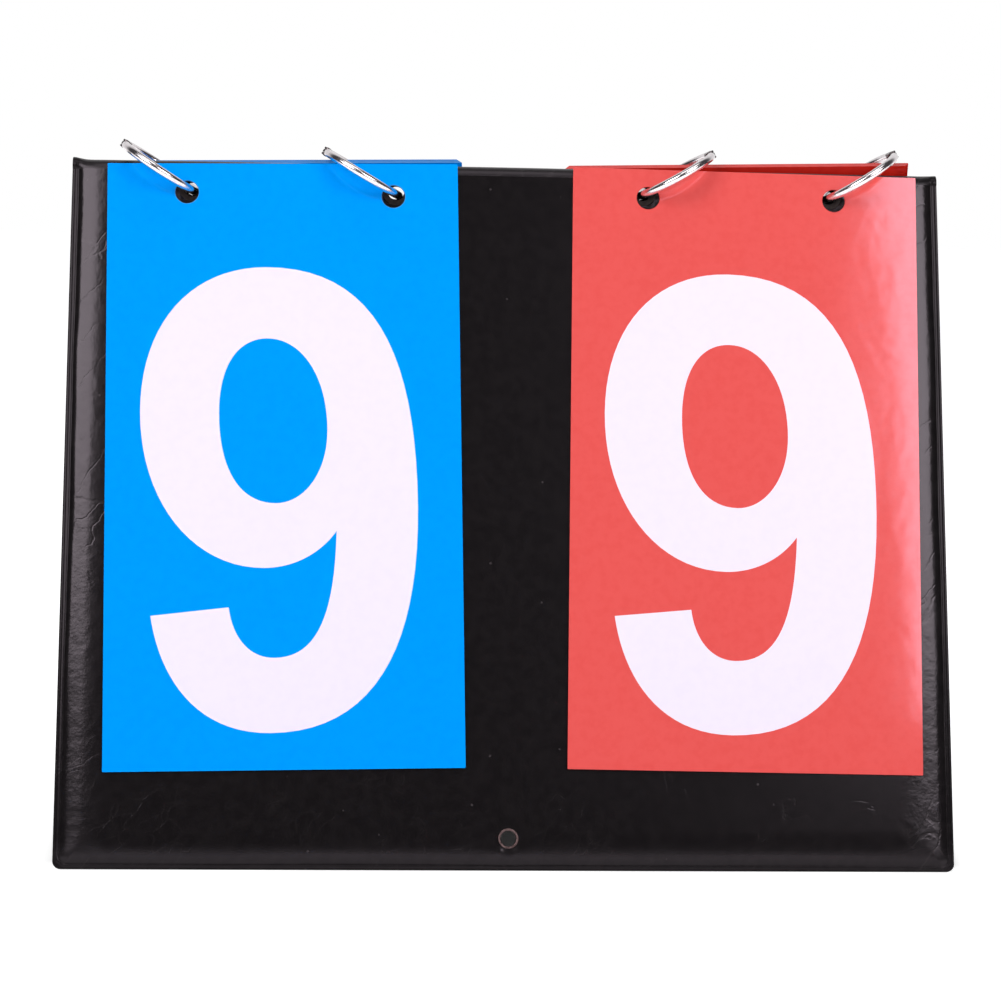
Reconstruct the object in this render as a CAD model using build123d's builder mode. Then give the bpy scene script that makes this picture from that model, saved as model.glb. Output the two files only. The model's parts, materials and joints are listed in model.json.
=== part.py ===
from build123d import *
import os
from math import acos, atan2, cos, degrees, hypot, radians, sin, sqrt

os.makedirs("parts", exist_ok=True)

# A tabletop flip scoreboard: a folding tent of two vinyl-covered panels, four hinged
# rings over the fold, and twenty cards, ten to a colour, that turn over on the rings.
# Millimetres. +X is the width, +Z is up, and the front panel faces -Y. The origin is on
# the table, midway between the feet. A place on a panel is given by x, by the drop down
# the slope from the fold axis, and by the height outward from the fold axis.

# ---- Driving dimensions: panels -------------------------------------------------------
board_width = 225.0
panel_length = 178.4  # from the fold axis down the slope to the lower edge
lean_angle = 18.0  # each panel from the vertical when the tent stands
vinyl_thickness = 0.4
core_thickness = 2.0  # greyboard stiffener
fold_half_gap = 0.4  # fold axis to each panel's inner face
weld_width = 3.0  # flat welded seam round the stiffener
corner_radius = 2.0
swell_radius = 0.9  # rounding where the vinyl turns over the stiffener's edge
core_clearance = 0.1
core_top_drop = 1.0  # the stiffener stops this far below the fold axis

# ---- Driving dimensions: eyelets ------------------------------------------------------
eyelet_wall = 0.25
eyelet_flange_thickness = 0.3
eyelet_stand = 0.05  # how far a pressed flange stands above the vinyl
eyelet_clearance = 0.05
ring_eyelet_bore = 5.2
ring_eyelet_flange = 7.2
ring_eyelet_rise = 0.55  # eyelet centre above the point where the wire crosses the card
ring_eyelet_shift = 0.35  # eyelet centre sideways from the wire, away from its lean
tie_eyelet_bore = 3.7
tie_eyelet_flange = 5.1
tie_eyelet_height = 7.9  # above the panel's lower edge, along the slope

# ---- Driving dimensions: rings --------------------------------------------------------
ring_radius = 10.8  # to the middle of the wire
wire_diameter = 2.1
knuckle_radius = 1.35
tongue_thickness = 0.8
knuckle_clearance = 0.1
pin_diameter = 0.9
pin_fit = 0.05
pin_stand = 0.1
latch_gap = 0.1
stud_diameter = 1.0
stud_length = 1.2
stud_clearance = 0.08

# ---- Driving dimensions: cards --------------------------------------------------------
card_width = 90.0
card_height = 156.0
card_thickness = 0.25
card_gap = 0.02  # air between neighbouring cards of a stack
card_corner = 0.6
card_hole = 6.0
cards_per_side = 10
card_seat = 3.3  # fold axis to the face of the first card on a panel

# Each side: its sign, which is also the way its rings lean; how far its two rings and its
# front card stand in from the board's side edge; the rings' lean from upright; the drop to
# the wire's crossing; the holes, from the card's middle and its top edge; the drop to the
# front card's top edge and its skew; and the skew, rise and shift of the back stack.
blue = dict(
    name="blue",
    hand=-1,
    ring_inset=(30.5, 82.9),
    tilt=(57.0, 60.0),
    wire_drop=5.3,
    holes=((-24.7, 7.6), (28.3, 8.7)),
    card_inset=55.4,
    card_drop=-2.1,
    skew=1.0,
    stack_skew=1.4,
    stack_rise=-0.6,
    stack_shift=0.7,
)
red = dict(
    name="red",
    hand=1,
    ring_inset=(77.4, 28.7),
    tilt=(60.0, 57.0),
    wire_drop=4.2,
    holes=((-25.4, 7.7), (23.3, 6.9)),
    card_inset=51.8,
    card_drop=-2.2,
    skew=-0.7,
    stack_skew=1.7,
    stack_rise=0.45,
    stack_shift=-0.3,
)
sides = (blue, red)

# ---- Worked-out sizes -----------------------------------------------------------------
lean_sin = sin(radians(lean_angle))
lean_cos = cos(radians(lean_angle))
panel_thickness = core_thickness + 2 * vinyl_thickness
outer_face = fold_half_gap + panel_thickness
middle_face = (fold_half_gap + outer_face) / 2
wire_radius = wire_diameter / 2
weld_inner = middle_face - vinyl_thickness
fold_height = panel_length * lean_cos - weld_inner * lean_sin
card_pitch = card_thickness + card_gap
card_middle = card_seat + card_thickness / 2

FRONT = -1
BACK = 1


def panel_plane(side, height):
    """The plane parallel to a panel at a height from the fold axis, with +Y up the slope."""
    normal = Vector(0, side * lean_cos, lean_sin)
    origin = Vector(0, 0, fold_height) + normal * height
    return Plane(origin=origin, x_dir=(-side, 0, 0), z_dir=normal)


def card_plane(side, height, x, drop, skew):
    """The plane of a card whose middle is at x and drop, turned by skew seen from the front."""
    normal = Vector(0, side * lean_cos, lean_sin)
    down = Vector(0, side * lean_sin, -lean_cos)
    across = Vector(1, 0, 0)
    origin = Vector(x, 0, fold_height) + down * drop + normal * height
    turned = across * cos(radians(skew)) - down * sin(radians(skew))
    return Plane(origin=origin, x_dir=turned * -side, z_dir=normal)


def place_x(side_values, inset):
    """The x of a place that stands in from the side's own edge of the board."""
    return side_values["hand"] * (board_width / 2 - inset)


def ring_frame(side_values, index):
    """The plane of one ring: local +X from its centre to the hinge, local +Y to the back."""
    tilt = radians(side_values["tilt"][index])
    lean = Vector(side_values["hand"] * sin(tilt), 0, cos(tilt))
    drop = side_values["wire_drop"]
    cross_y = drop * lean_sin + card_middle * lean_cos
    cross_z = fold_height - drop * lean_cos + card_middle * lean_sin
    rise = sqrt(ring_radius**2 - cross_y**2)
    cross_x = place_x(side_values, side_values["ring_inset"][index])
    centre = Vector(cross_x, 0, cross_z) + lean * rise
    return Plane(origin=centre, x_dir=lean, z_dir=(-lean.Z, 0, lean.X))


def wire_crossing(side_values, index, height):
    """Where a ring's wire crosses the back panel's plane at a height: x and drop."""
    frame = ring_frame(side_values, index)
    across = lean_cos * ring_radius
    upward = lean_sin * ring_radius * frame.x_dir.Z
    level = height - lean_sin * (frame.origin.Z - fold_height)
    angle = atan2(across, upward) + acos(level / hypot(across, upward))
    point = frame.from_local_coords(
        (ring_radius * cos(angle), ring_radius * sin(angle), 0)
    )
    drop = point.Y * lean_sin - (point.Z - fold_height) * lean_cos
    return point.X, drop


def eyelet_places(side):
    """The ring eyelets' middles in a panel's own plane coordinates."""
    places = []
    for values in sides:
        for inset in values["ring_inset"]:
            centre_x = place_x(values, inset) - values["hand"] * ring_eyelet_shift
            places.append((-side * centre_x, ring_eyelet_rise - values["wire_drop"]))
    return places


# ---- Panels ---------------------------------------------------------------------------
pillow_width = board_width - 2 * weld_width
pillow_length = panel_length - weld_width
core_width = pillow_width - 2 * vinyl_thickness - 2 * core_clearance
core_length = pillow_length - vinyl_thickness - core_clearance - core_top_drop
tie_place = (0, tie_eyelet_height - panel_length)
ring_bore = ring_eyelet_bore + 2 * eyelet_wall + 2 * eyelet_clearance
tie_bore = tie_eyelet_bore + 2 * eyelet_wall + 2 * eyelet_clearance
sink_depth = eyelet_flange_thickness - eyelet_stand
rim_start = fold_half_gap - eyelet_stand
barrel_length = panel_thickness + 2 * eyelet_stand
flange_start = outer_face + eyelet_stand - eyelet_flange_thickness

for side, side_name in ((FRONT, "front"), (BACK, "back")):
    # Each skin is a shallow tray of vinyl: it swells over the stiffener and lies flat at
    # the weld. The outer skin rises from the seam, the lining sinks towards the inside.
    for skin_name, face, way in (
        ("outer_cover", outer_face, 1),
        ("inner_lining", fold_half_gap, -1),
    ):
        seam = panel_plane(side, middle_face)
        with BuildPart() as skin:
            with BuildSketch(seam):
                Rectangle(board_width, panel_length, align=(Align.CENTER, Align.MAX))
            extrude(amount=way * vinyl_thickness)
            upright_edges = skin.edges().filter_by(Axis(seam.origin, seam.z_dir))
            fillet(upright_edges.group_by(Axis.Z)[0], corner_radius)
            with BuildSketch(seam):
                Rectangle(pillow_width, pillow_length, align=(Align.CENTER, Align.MAX))
            extrude(amount=face - middle_face)
            rim = skin.faces().sort_by(Axis(seam.origin, seam.z_dir * way))[-1]
            fillet(rim.edges().sort_by(Axis.Z)[:-1], swell_radius)
            with BuildSketch(seam):
                with Locations((0, -core_top_drop)):
                    Rectangle(
                        core_width + 2 * core_clearance,
                        core_length + core_clearance,
                        align=(Align.CENTER, Align.MAX),
                    )
            extrude(amount=way * core_thickness / 2, mode=Mode.SUBTRACT)
            with BuildSketch(panel_plane(side, 0)):
                with Locations(*eyelet_places(side)):
                    Circle(ring_bore / 2)
                with Locations(tie_place):
                    Circle(tie_bore / 2)
            extrude(amount=outer_face + card_gap, mode=Mode.SUBTRACT)
            with BuildSketch(panel_plane(side, face)):
                with Locations(*eyelet_places(side)):
                    Circle(ring_eyelet_flange / 2 + eyelet_clearance)
                with Locations(tie_place):
                    Circle(tie_eyelet_flange / 2 + eyelet_clearance)
            extrude(amount=-way * sink_depth, mode=Mode.SUBTRACT)
        skin.part.label = f"{side_name}_{skin_name}"
        export_step(skin.part, f"parts/{side_name}_{skin_name}.step")

    with BuildPart() as stiffener:
        with BuildSketch(panel_plane(side, middle_face - core_thickness / 2)):
            with Locations((0, -core_top_drop)):
                Rectangle(core_width, core_length, align=(Align.CENTER, Align.MAX))
            with Locations(*eyelet_places(side)):
                Circle(ring_bore / 2, mode=Mode.SUBTRACT)
            with Locations(tie_place):
                Circle(tie_bore / 2, mode=Mode.SUBTRACT)
        extrude(amount=core_thickness)
    stiffener.part.label = f"{side_name}_stiffener"
    export_step(stiffener.part, f"parts/{side_name}_stiffener.step")

    for eyelet_name, places, bore, flange in (
        ("ring_eyelets", eyelet_places(side), ring_eyelet_bore, ring_eyelet_flange),
        ("tie_eyelet", [tie_place], tie_eyelet_bore, tie_eyelet_flange),
    ):
        with BuildPart() as eyelets:
            # The barrel runs right through, with a pressed flange outside and a rolled
            # rim inside.
            for start, length, width in (
                (rim_start, barrel_length, bore + 2 * eyelet_wall),
                (flange_start, eyelet_flange_thickness, flange),
                (rim_start, eyelet_flange_thickness, flange),
            ):
                with BuildSketch(panel_plane(side, start)):
                    with Locations(*places):
                        Circle(width / 2)
                        Circle(bore / 2, mode=Mode.SUBTRACT)
                extrude(amount=length)
        eyelets.part.label = f"{side_name}_{eyelet_name}"
        export_step(eyelets.part, f"parts/{side_name}_{eyelet_name}.step")

# The fold is one strip of doubled vinyl that bends round the fold axis and joins the two
# outer skins.
fold_outer = outer_face
fold_inner = outer_face - 2 * vinyl_thickness
with BuildPart() as fold_strip:
    with BuildSketch(Plane.YZ.offset(-board_width / 2)):
        with BuildLine():
            sweep_angle = 180 - 2 * lean_angle
            outside = CenterArc((0, fold_height), fold_outer, lean_angle, sweep_angle)
            inside = CenterArc((0, fold_height), fold_inner, lean_angle, sweep_angle)
            Line(outside @ 0, inside @ 0)
            Line(outside @ 1, inside @ 1)
        make_face()
    extrude(amount=board_width)
fold_strip.part.label = "fold_strip"
export_step(fold_strip.part, "parts/fold_strip.step")

# ---- Rings ----------------------------------------------------------------------------
# A hinged loose-leaf ring in two halves. The front half ends in a tongue at the hinge and
# a stud at the latch, the back half in a fork and a socket.
fork_inner = tongue_thickness / 2 + knuckle_clearance
knuckle_reach = knuckle_radius + knuckle_clearance
latch_angle = 180 - degrees(latch_gap / 2 / ring_radius)
tool_length = 4 * wire_diameter

for values in sides:
    for index, place in enumerate(("left", "right")):
        ring_name = f"{values['name']}_{place}_ring"
        frame = ring_frame(values, index)
        hinge = Plane(
            origin=frame.from_local_coords((ring_radius, 0, 0)),
            x_dir=frame.x_dir,
            z_dir=frame.z_dir,
        )
        with BuildPart() as front_half:
            with BuildLine(frame):
                front_arc = CenterArc((0, 0), ring_radius, 0, -latch_angle)
            with BuildSketch(Plane(origin=front_arc @ 0, z_dir=front_arc % 0)):
                Circle(wire_radius)
            sweep(path=front_arc)
            for face_offset, way in ((tongue_thickness / 2, 1), (-tongue_thickness / 2, -1)):
                with BuildSketch(hinge.offset(face_offset)):
                    Circle(knuckle_reach)
                extrude(amount=way * tool_length, mode=Mode.SUBTRACT)
            with BuildSketch(hinge.offset(-tongue_thickness / 2)):
                Circle(knuckle_radius)
            extrude(amount=tongue_thickness)
            with BuildSketch(hinge.offset(-tool_length / 2)):
                Circle(pin_diameter / 2 + pin_fit)
            extrude(amount=tool_length, mode=Mode.SUBTRACT)
            with BuildSketch(Plane(origin=front_arc @ 1, z_dir=front_arc % 1)):
                Circle(stud_diameter / 2)
            extrude(amount=stud_length)
        front_half.part.label = f"{ring_name}_front_half"
        export_step(front_half.part, f"parts/{ring_name}_front_half.step")

        with BuildPart() as back_half:
            with BuildLine(frame):
                back_arc = CenterArc((0, 0), ring_radius, 0, latch_angle)
            with BuildSketch(Plane(origin=back_arc @ 0, z_dir=back_arc % 0)):
                Circle(wire_radius)
            sweep(path=back_arc)
            with BuildSketch(hinge.offset(-fork_inner)):
                Circle(knuckle_reach)
            extrude(amount=2 * fork_inner, mode=Mode.SUBTRACT)
            for face_offset, way in ((fork_inner, 1), (-fork_inner, -1)):
                with BuildSketch(hinge.offset(face_offset)):
                    Circle(knuckle_radius)
                extrude(amount=way * (wire_radius - fork_inner))
            with BuildSketch(hinge.offset(-tool_length / 2)):
                Circle(pin_diameter / 2)
            extrude(amount=tool_length, mode=Mode.SUBTRACT)
            with BuildSketch(Plane(origin=back_arc @ 1, z_dir=-(back_arc % 1))):
                Circle(stud_diameter / 2 + stud_clearance)
            extrude(amount=stud_length + stud_clearance, mode=Mode.SUBTRACT)
        back_half.part.label = f"{ring_name}_back_half"
        export_step(back_half.part, f"parts/{ring_name}_back_half.step")

        with BuildPart() as hinge_pin:
            with BuildSketch(hinge.offset(-wire_radius - pin_stand)):
                Circle(pin_diameter / 2)
            extrude(amount=2 * (wire_radius + pin_stand))
        hinge_pin.part.label = f"{ring_name}_hinge_pin"
        export_step(hinge_pin.part, f"parts/{ring_name}_hinge_pin.step")

# ---- Cards ----------------------------------------------------------------------------
# Card 9 lies on the front panel. Cards 0 to 8 have been turned over and lie on the back
# panel, 0 innermost, each hanging where its two wires cross it.
for values in sides:
    left_hole, right_hole = (
        Vector(x, card_height / 2 - drop, 0) for x, drop in values["holes"]
    )
    holes_middle = (left_hole + right_hole) / 2
    for number in range(cards_per_side):
        if number == cards_per_side - 1:
            x = place_x(values, values["card_inset"])
            drop = values["card_drop"] + card_height / 2
            sheet = card_plane(FRONT, card_seat, x, drop, values["skew"])
            hole_places = [(left_hole.X, left_hole.Y), (right_hole.X, right_hole.Y)]
        else:
            seat = card_seat + number * card_pitch
            left_x, left_drop = wire_crossing(values, 0, seat + card_thickness / 2)
            right_x, right_drop = wire_crossing(values, 1, seat + card_thickness / 2)
            turn = radians(values["stack_skew"])
            hang_x = (left_x + right_x) / 2 + values["stack_shift"]
            hang_drop = (left_drop + right_drop) / 2 - values["stack_rise"]
            x = hang_x - holes_middle.X * cos(turn) + holes_middle.Y * sin(turn)
            drop = hang_drop + holes_middle.X * sin(turn) + holes_middle.Y * cos(turn)
            sheet = card_plane(BACK, seat, x, drop, values["stack_skew"])
            hole_places = [(-left_hole.X, left_hole.Y), (-right_hole.X, right_hole.Y)]
        card_name = f"{values['name']}_card_{number}"
        with BuildPart() as card:
            with BuildSketch(sheet):
                RectangleRounded(card_width, card_height, card_corner)
                with Locations(*hole_places):
                    Circle(card_hole / 2, mode=Mode.SUBTRACT)
            extrude(amount=card_thickness)
        card.part.label = card_name
        export_step(card.part, f"parts/{card_name}.step")
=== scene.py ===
"""A tabletop flip scoreboard: a vinyl tent, hinged rings and two sets of numbered cards."""
import json
import logging
from dataclasses import dataclass, field
from enum import Enum
from math import acos, atan2, cos, exp, hypot, pi, radians, sin, tau
from typing import Iterable, Sequence, Union

import bmesh
import bpy
from mathutils import Matrix, Vector
from mathutils.geometry import delaunay_2d_cdt


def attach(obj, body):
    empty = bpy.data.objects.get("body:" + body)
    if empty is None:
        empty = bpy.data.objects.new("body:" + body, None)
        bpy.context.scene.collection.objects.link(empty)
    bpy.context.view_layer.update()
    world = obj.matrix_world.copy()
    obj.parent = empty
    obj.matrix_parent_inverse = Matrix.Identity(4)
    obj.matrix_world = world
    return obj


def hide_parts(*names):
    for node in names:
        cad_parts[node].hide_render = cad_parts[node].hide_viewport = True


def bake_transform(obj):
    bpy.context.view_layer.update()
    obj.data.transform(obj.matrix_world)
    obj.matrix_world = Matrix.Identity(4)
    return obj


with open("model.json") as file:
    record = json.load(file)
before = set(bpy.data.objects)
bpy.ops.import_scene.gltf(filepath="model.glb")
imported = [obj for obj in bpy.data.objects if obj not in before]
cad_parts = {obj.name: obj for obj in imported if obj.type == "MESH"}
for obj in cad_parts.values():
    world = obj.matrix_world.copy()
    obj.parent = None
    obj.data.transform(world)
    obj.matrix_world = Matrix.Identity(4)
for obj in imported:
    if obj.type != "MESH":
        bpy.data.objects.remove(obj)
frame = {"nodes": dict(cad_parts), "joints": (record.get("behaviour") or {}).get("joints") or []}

LOG = logging.getLogger("flip_scoreboard")
MM = 0.001

Tree = bpy.types.NodeTree
Socket = bpy.types.NodeSocket
Sockets = bpy.types.bpy_prop_collection
Material = bpy.types.Material
Object = bpy.types.Object
Inputs = Union[dict, Sequence]
Point = tuple[float, float]
Form = tuple[list[Vector], list[tuple[int, ...]]]

JOINTS = {joint["name"]: joint for joint in frame["joints"]}
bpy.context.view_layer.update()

LEAN = radians(18.0)
LEAN_SIN = sin(LEAN)
LEAN_COS = cos(LEAN)


class Side(Enum):
    """The two panels of the tent, by the sign of the way they face along Y."""

    FRONT = -1
    BACK = 1

    @property
    def body(self) -> str:
        """The body that this panel is."""
        return f"{self.name.lower()}_panel"


class Layer(Enum):
    """The two skins of a panel, by the way their faces look from the board."""

    OUTER_COVER = 1
    INNER_LINING = -1


def linear(hex_code: str) -> tuple[float, float, float, float]:
    """Turns an sRGB colour into the linear one that shaders use.

    Args:
        hex_code: six hex digits, such as "EC5F5C".

    Returns:
        The linear red, green, blue and an alpha of 1.
    """
    channels = []
    for start in (0, 2, 4):
        value = int(hex_code[start:start + 2], 16) / 255
        low = value <= 0.04045
        channels.append(value / 12.92 if low else ((value + 0.055) / 1.055) ** 2.4)
    return (*channels, 1.0)


def smooth_step(value: float) -> float:
    """Rises smoothly from 0 to 1 as a value, held between 0 and 1, does."""
    held = min(max(value, 0.0), 1.0)
    return held * held * (3 - 2 * held)


def hump(distance: float, width: float) -> float:
    """A bell of height 1 that has fallen to 0.37 at its width from the middle."""
    return exp(-((distance / width) ** 2))


# ---- Shader helpers -------------------------------------------------------------------
SMOOTH = {"interpolation_type": "SMOOTHSTEP"}


def connect(tree: Tree, node: bpy.types.Node, inputs: Inputs) -> None:
    """Gives a node its inputs.

    Args:
        tree: the node tree.
        node: the node.
        inputs: values, or sockets to link from, in the node's own order or by name.
    """
    for key, value in inputs.items() if isinstance(inputs, dict) else enumerate(inputs):
        if isinstance(value, Socket):
            tree.links.new(value, node.inputs[key])
        else:
            node.inputs[key].default_value = value


def add_node(tree: Tree, kind: str, inputs: Inputs = (), **settings: object) -> Sockets:
    """Adds one shader node with its settings and its links.

    Args:
        tree: the node tree that gets the node.
        kind: Blender's name of the node, without its ShaderNode prefix.
        inputs: values, or sockets to link from, in the node's own order or by name.
        settings: attributes to set on the node.

    Returns:
        The node's outputs.
    """
    made = tree.nodes.new(f"ShaderNode{kind}")
    for name, value in settings.items():
        setattr(made, name, value)
    connect(tree, made, inputs)
    return made.outputs


def millimetres(tree: Tree, stretch: Sequence[float] = (1, 1, 1)) -> Socket:
    """Object coordinates in millimetres, so that a texture's scale is 1 over a real size.

    Args:
        tree: the node tree.
        stretch: how many times finer the pattern is along each axis.

    Returns:
        The socket that gives the coordinates.
    """
    where = add_node(tree, "TexCoord")["Object"]
    scale = tuple(part / MM for part in stretch)
    return add_node(tree, "Mapping", {"Vector": where, "Scale": scale})[0]


def seen_by(tree: Tree, *rays: str) -> Socket:
    """Tells some kinds of ray from the others.

    Args:
        tree: the node tree.
        rays: the names of those kinds.

    Returns:
        A socket that is 1 for a ray of one of those kinds.
    """
    kinds = add_node(tree, "LightPath")
    seen = kinds[rays[0]]
    for ray in rays[1:]:
        seen = add_node(tree, "Math", (seen, kinds[ray]), operation="MAXIMUM")[0]
    return seen


# ---- Finishes -------------------------------------------------------------------------
class Finish:
    """A finish is a frozen dataclass with a name, and says what its shader's sockets get."""

    name: str

    def sockets(self, tree: Tree) -> dict:
        """What the Principled shader gets, by the names of its inputs.

        Args:
            tree: the material's node tree, for the finish's own nodes.

        Returns:
            Values and sockets.
        """
        raise NotImplementedError

    def material(self) -> Material:
        """Builds the material.

        Returns:
            The finished material.
        """
        material = bpy.data.materials.new(self.name)
        material.use_nodes = True
        tree = material.node_tree
        connect(tree, tree.nodes["Principled BSDF"], self.sockets(tree))
        return material


@dataclass(frozen=True)
class Spot:
    """The sockets that say where on a skin a point is, in millimetres."""

    tree: Tree
    place: Socket
    aside: Socket
    above: Socket

    @classmethod
    def find(cls, tree: Tree) -> "Spot":
        """Adds the nodes that a spot needs.

        Args:
            tree: the node tree.

        Returns:
            The place, the distance from the middle line and the height over the table.
        """
        place = millimetres(tree)
        parts = add_node(tree, "SeparateXYZ", (place,))
        aside = add_node(tree, "Math", (parts["X"],), operation="ABSOLUTE")[0]
        return cls(tree, place, aside, parts["Z"])


@dataclass(frozen=True)
class Leathercloth(Finish):
    """Calendered PVC leathercloth, embossed with a fine grain and wrapped round a board.

    It is near-black and half glossy. The grain breaks a lamp up into a soft sheen, and the
    skin is crumpled and creased beside the welded edges, where it was pulled round them.
    Dust shows on it as small pale specks. Sizes, depths and reaches are in millimetres, and
    a crease's width is a share of the gap between creases.
    """

    name: str = "grained_black_pvc"
    colour: str = "110F10"
    worn_colour: str = "211E1F"
    dust: str = "3A3537"
    sheen: str = "FFEFFB"
    roughness: float = 0.165
    rubbed_roughness: float = 0.13
    gloss_level: float = 0.38
    pressed_gloss: float = 0.14
    low_gloss: float = 0.2
    grain_mm: float = 0.6
    crease_mm: float = 10.0
    crease_width: float = 0.04
    crease_slant: float = 48.0
    crease_stretch: tuple[float, float, float] = (0.5, 0.8, 1.4)
    thread_mm: float = 5.0
    crumple_mm: float = 2.6
    wander_mm: float = 4.5
    dust_mm: float = 4.5
    grain_depth: float = 0.02
    crease_depth: float = 0.028
    crumple_depth: float = 0.12
    roll_off: float = 0.6
    low_roll: float = 0.85
    roll_reach: Point = (0.5, 10.5)
    weld_reach: Point = (1.3, 2.6)
    foot_reach: Point = (2.0, 6.5)
    turned_reach: Point = (2.0, 9.0)
    thread_reach: Point = (18.0, 55.0)
    thread_share: Point = (0.4, 0.0)
    calm_width: float = 101.0
    calm_fade: float = 4.0
    seam_reach: Point = (108.4, 110.2)
    half_width: float = 112.5

    def sockets(self, tree: Tree) -> dict:
        """What the shader gets.

        Args:
            tree: the material's node tree.

        Returns:
            Values and sockets by the names of the inputs.
        """
        spot = Spot.find(tree)
        beside = self.beside_seam(spot)
        low = add_node(tree, "MapRange", (spot.above, *self.thread_reach, *self.thread_share), **SMOOTH)[0]
        creases = self.crease_lines(spot, beside, self.crease_mm)
        threads = self.crease_lines(spot, low, self.thread_mm)
        lines = add_node(tree, "Math", (creases, threads), operation="MINIMUM")[0]
        waves = {"Vector": spot.place, "Scale": 1 / self.crumple_mm, "Detail": 2.0}
        crumple = add_node(tree, "TexNoise", waves)["Fac"]
        puckered = add_node(tree, "Math", (crumple, beside), operation="MULTIPLY")[0]
        pebbles = {"Vector": spot.place, "Scale": 1 / self.grain_mm, "Smoothness": 0.6}
        grain = add_node(tree, "TexVoronoi", pebbles, feature="SMOOTH_F1")["Distance"]
        normal = None
        for height, strength, depth in (
            (self.rounding(spot), 1.0, self.roll_off),
            (puckered, 0.6, self.crumple_depth),
            (lines, 0.8, self.crease_depth),
            (grain, 0.35, self.grain_depth),
        ):
            relief = {"Strength": strength, "Distance": depth * MM, "Height": height}
            if normal:
                relief["Normal"] = normal
            normal = add_node(tree, "Bump", relief)[0]
        mottle = add_node(tree, "MapRange", (crumple, 0.3, 0.7, 0.7, 1.0), **SMOOTH)[0]
        sound = add_node(tree, "Math", (lines, mottle), operation="MULTIPLY")[0]
        shades = {0: sound, 6: linear(self.worn_colour), 7: linear(self.colour)}
        worn = add_node(tree, "Mix", shades, data_type="RGBA")[2]
        dusted = {0: self.dust_specks(spot), 6: worn, 7: linear(self.dust)}
        turned_under = add_node(tree, "MapRange", (spot.above, *self.turned_reach, 1.0, 0.0), **SMOOTH)[0]
        rubbed = add_node(tree, "Math", (beside, 0.4, turned_under), operation="MULTIPLY_ADD")[0]
        rough = (self.roughness, self.roughness + self.rubbed_roughness)
        return {
            "Base Color": add_node(tree, "Mix", dusted, data_type="RGBA")[2],
            "Roughness": add_node(tree, "MapRange", (rubbed, 0.0, 1.0, *rough), **SMOOTH)[0],
            "Normal": normal,
            "Specular IOR Level": self.gloss(spot),
            "IOR": 1.5,
            "Specular Tint": linear(self.sheen),
        }

    def dust_specks(self, spot: Spot) -> Socket:
        """Specks of dust, most of them too small to see.

        Args:
            spot: where a point is.

        Returns:
            A socket that is 1 on a speck and 0 elsewhere.
        """
        scattered = {"Vector": spot.place, "Scale": 1 / self.dust_mm}
        specks = add_node(spot.tree, "TexVoronoi", scattered)
        chance = add_node(spot.tree, "SeparateXYZ", (specks["Color"],))[0]
        rare, largest = 0.55, 0.07
        size = add_node(spot.tree, "MapRange", (chance, rare, 1.0, 0.0, largest), **SMOOTH)[0]
        return add_node(spot.tree, "Math", (specks["Distance"], size), operation="LESS_THAN")[0]

    def near_edge(self, spot: Spot, reach: Point, level: float = 1.0) -> Socket:
        """How near a point is to the side or lower edges.

        Args:
            spot: where the point is.
            reach: the distances from the edge at which the share is 1 and 0.
            level: the share at the lower edge.

        Returns:
            A socket that is 1 at the edge and 0 beyond the reach.
        """
        span = (self.half_width - reach[1], self.half_width - reach[0])
        side = add_node(spot.tree, "MapRange", (spot.aside, *span, 0.0, 1.0), **SMOOTH)[0]
        low = add_node(spot.tree, "MapRange", (spot.above, *reach, level, 0.0), **SMOOTH)[0]
        return add_node(spot.tree, "Math", (side, low), operation="MAXIMUM")[0]

    def rounding(self, spot: Spot) -> Socket:
        """The soft roll of the padded skin towards its seam.

        Args:
            spot: where a point is.

        Returns:
            A height that falls off ever faster from 1 to 0 at the edge.
        """
        near = self.near_edge(spot, self.roll_reach, self.low_roll)
        squared = add_node(spot.tree, "Math", (near, near), operation="MULTIPLY")[0]
        return add_node(spot.tree, "MapRange", (squared, 0.0, 1.0, 1.0, 0.0), **SMOOTH)[0]

    def gloss(self, spot: Spot) -> Socket:
        """The specular level, which the hot bar of the welder has flattened on the seam.

        Args:
            spot: where a point is.

        Returns:
            A socket with the level.
        """
        levels = (self.gloss_level, self.pressed_gloss)
        near = self.near_edge(spot, self.weld_reach)
        pressed = add_node(spot.tree, "MapRange", (near, 0.0, 1.0, *levels), **SMOOTH)[0]
        rising = (spot.above, *self.foot_reach, self.low_gloss, self.gloss_level)
        low = add_node(spot.tree, "MapRange", rising, **SMOOTH)[0]
        return add_node(spot.tree, "Math", (pressed, low), operation="MINIMUM")[0]

    def beside_seam(self, spot: Spot) -> Socket:
        """How near a point is to the board's left or right seam.

        Args:
            spot: where the point is.

        Returns:
            A socket that is 0 in the calm middle and on the seam, and 1 beside the seam.
        """
        start = (self.calm_width - self.calm_fade, self.calm_width + self.calm_fade)
        beyond = add_node(spot.tree, "MapRange", (spot.aside, *start, 0.0, 1.0), **SMOOTH)[0]
        within = add_node(spot.tree, "MapRange", (spot.aside, *self.seam_reach, 1.0, 0.0), **SMOOTH)[0]
        return add_node(spot.tree, "Math", (beyond, within), operation="MULTIPLY")[0]

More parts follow.
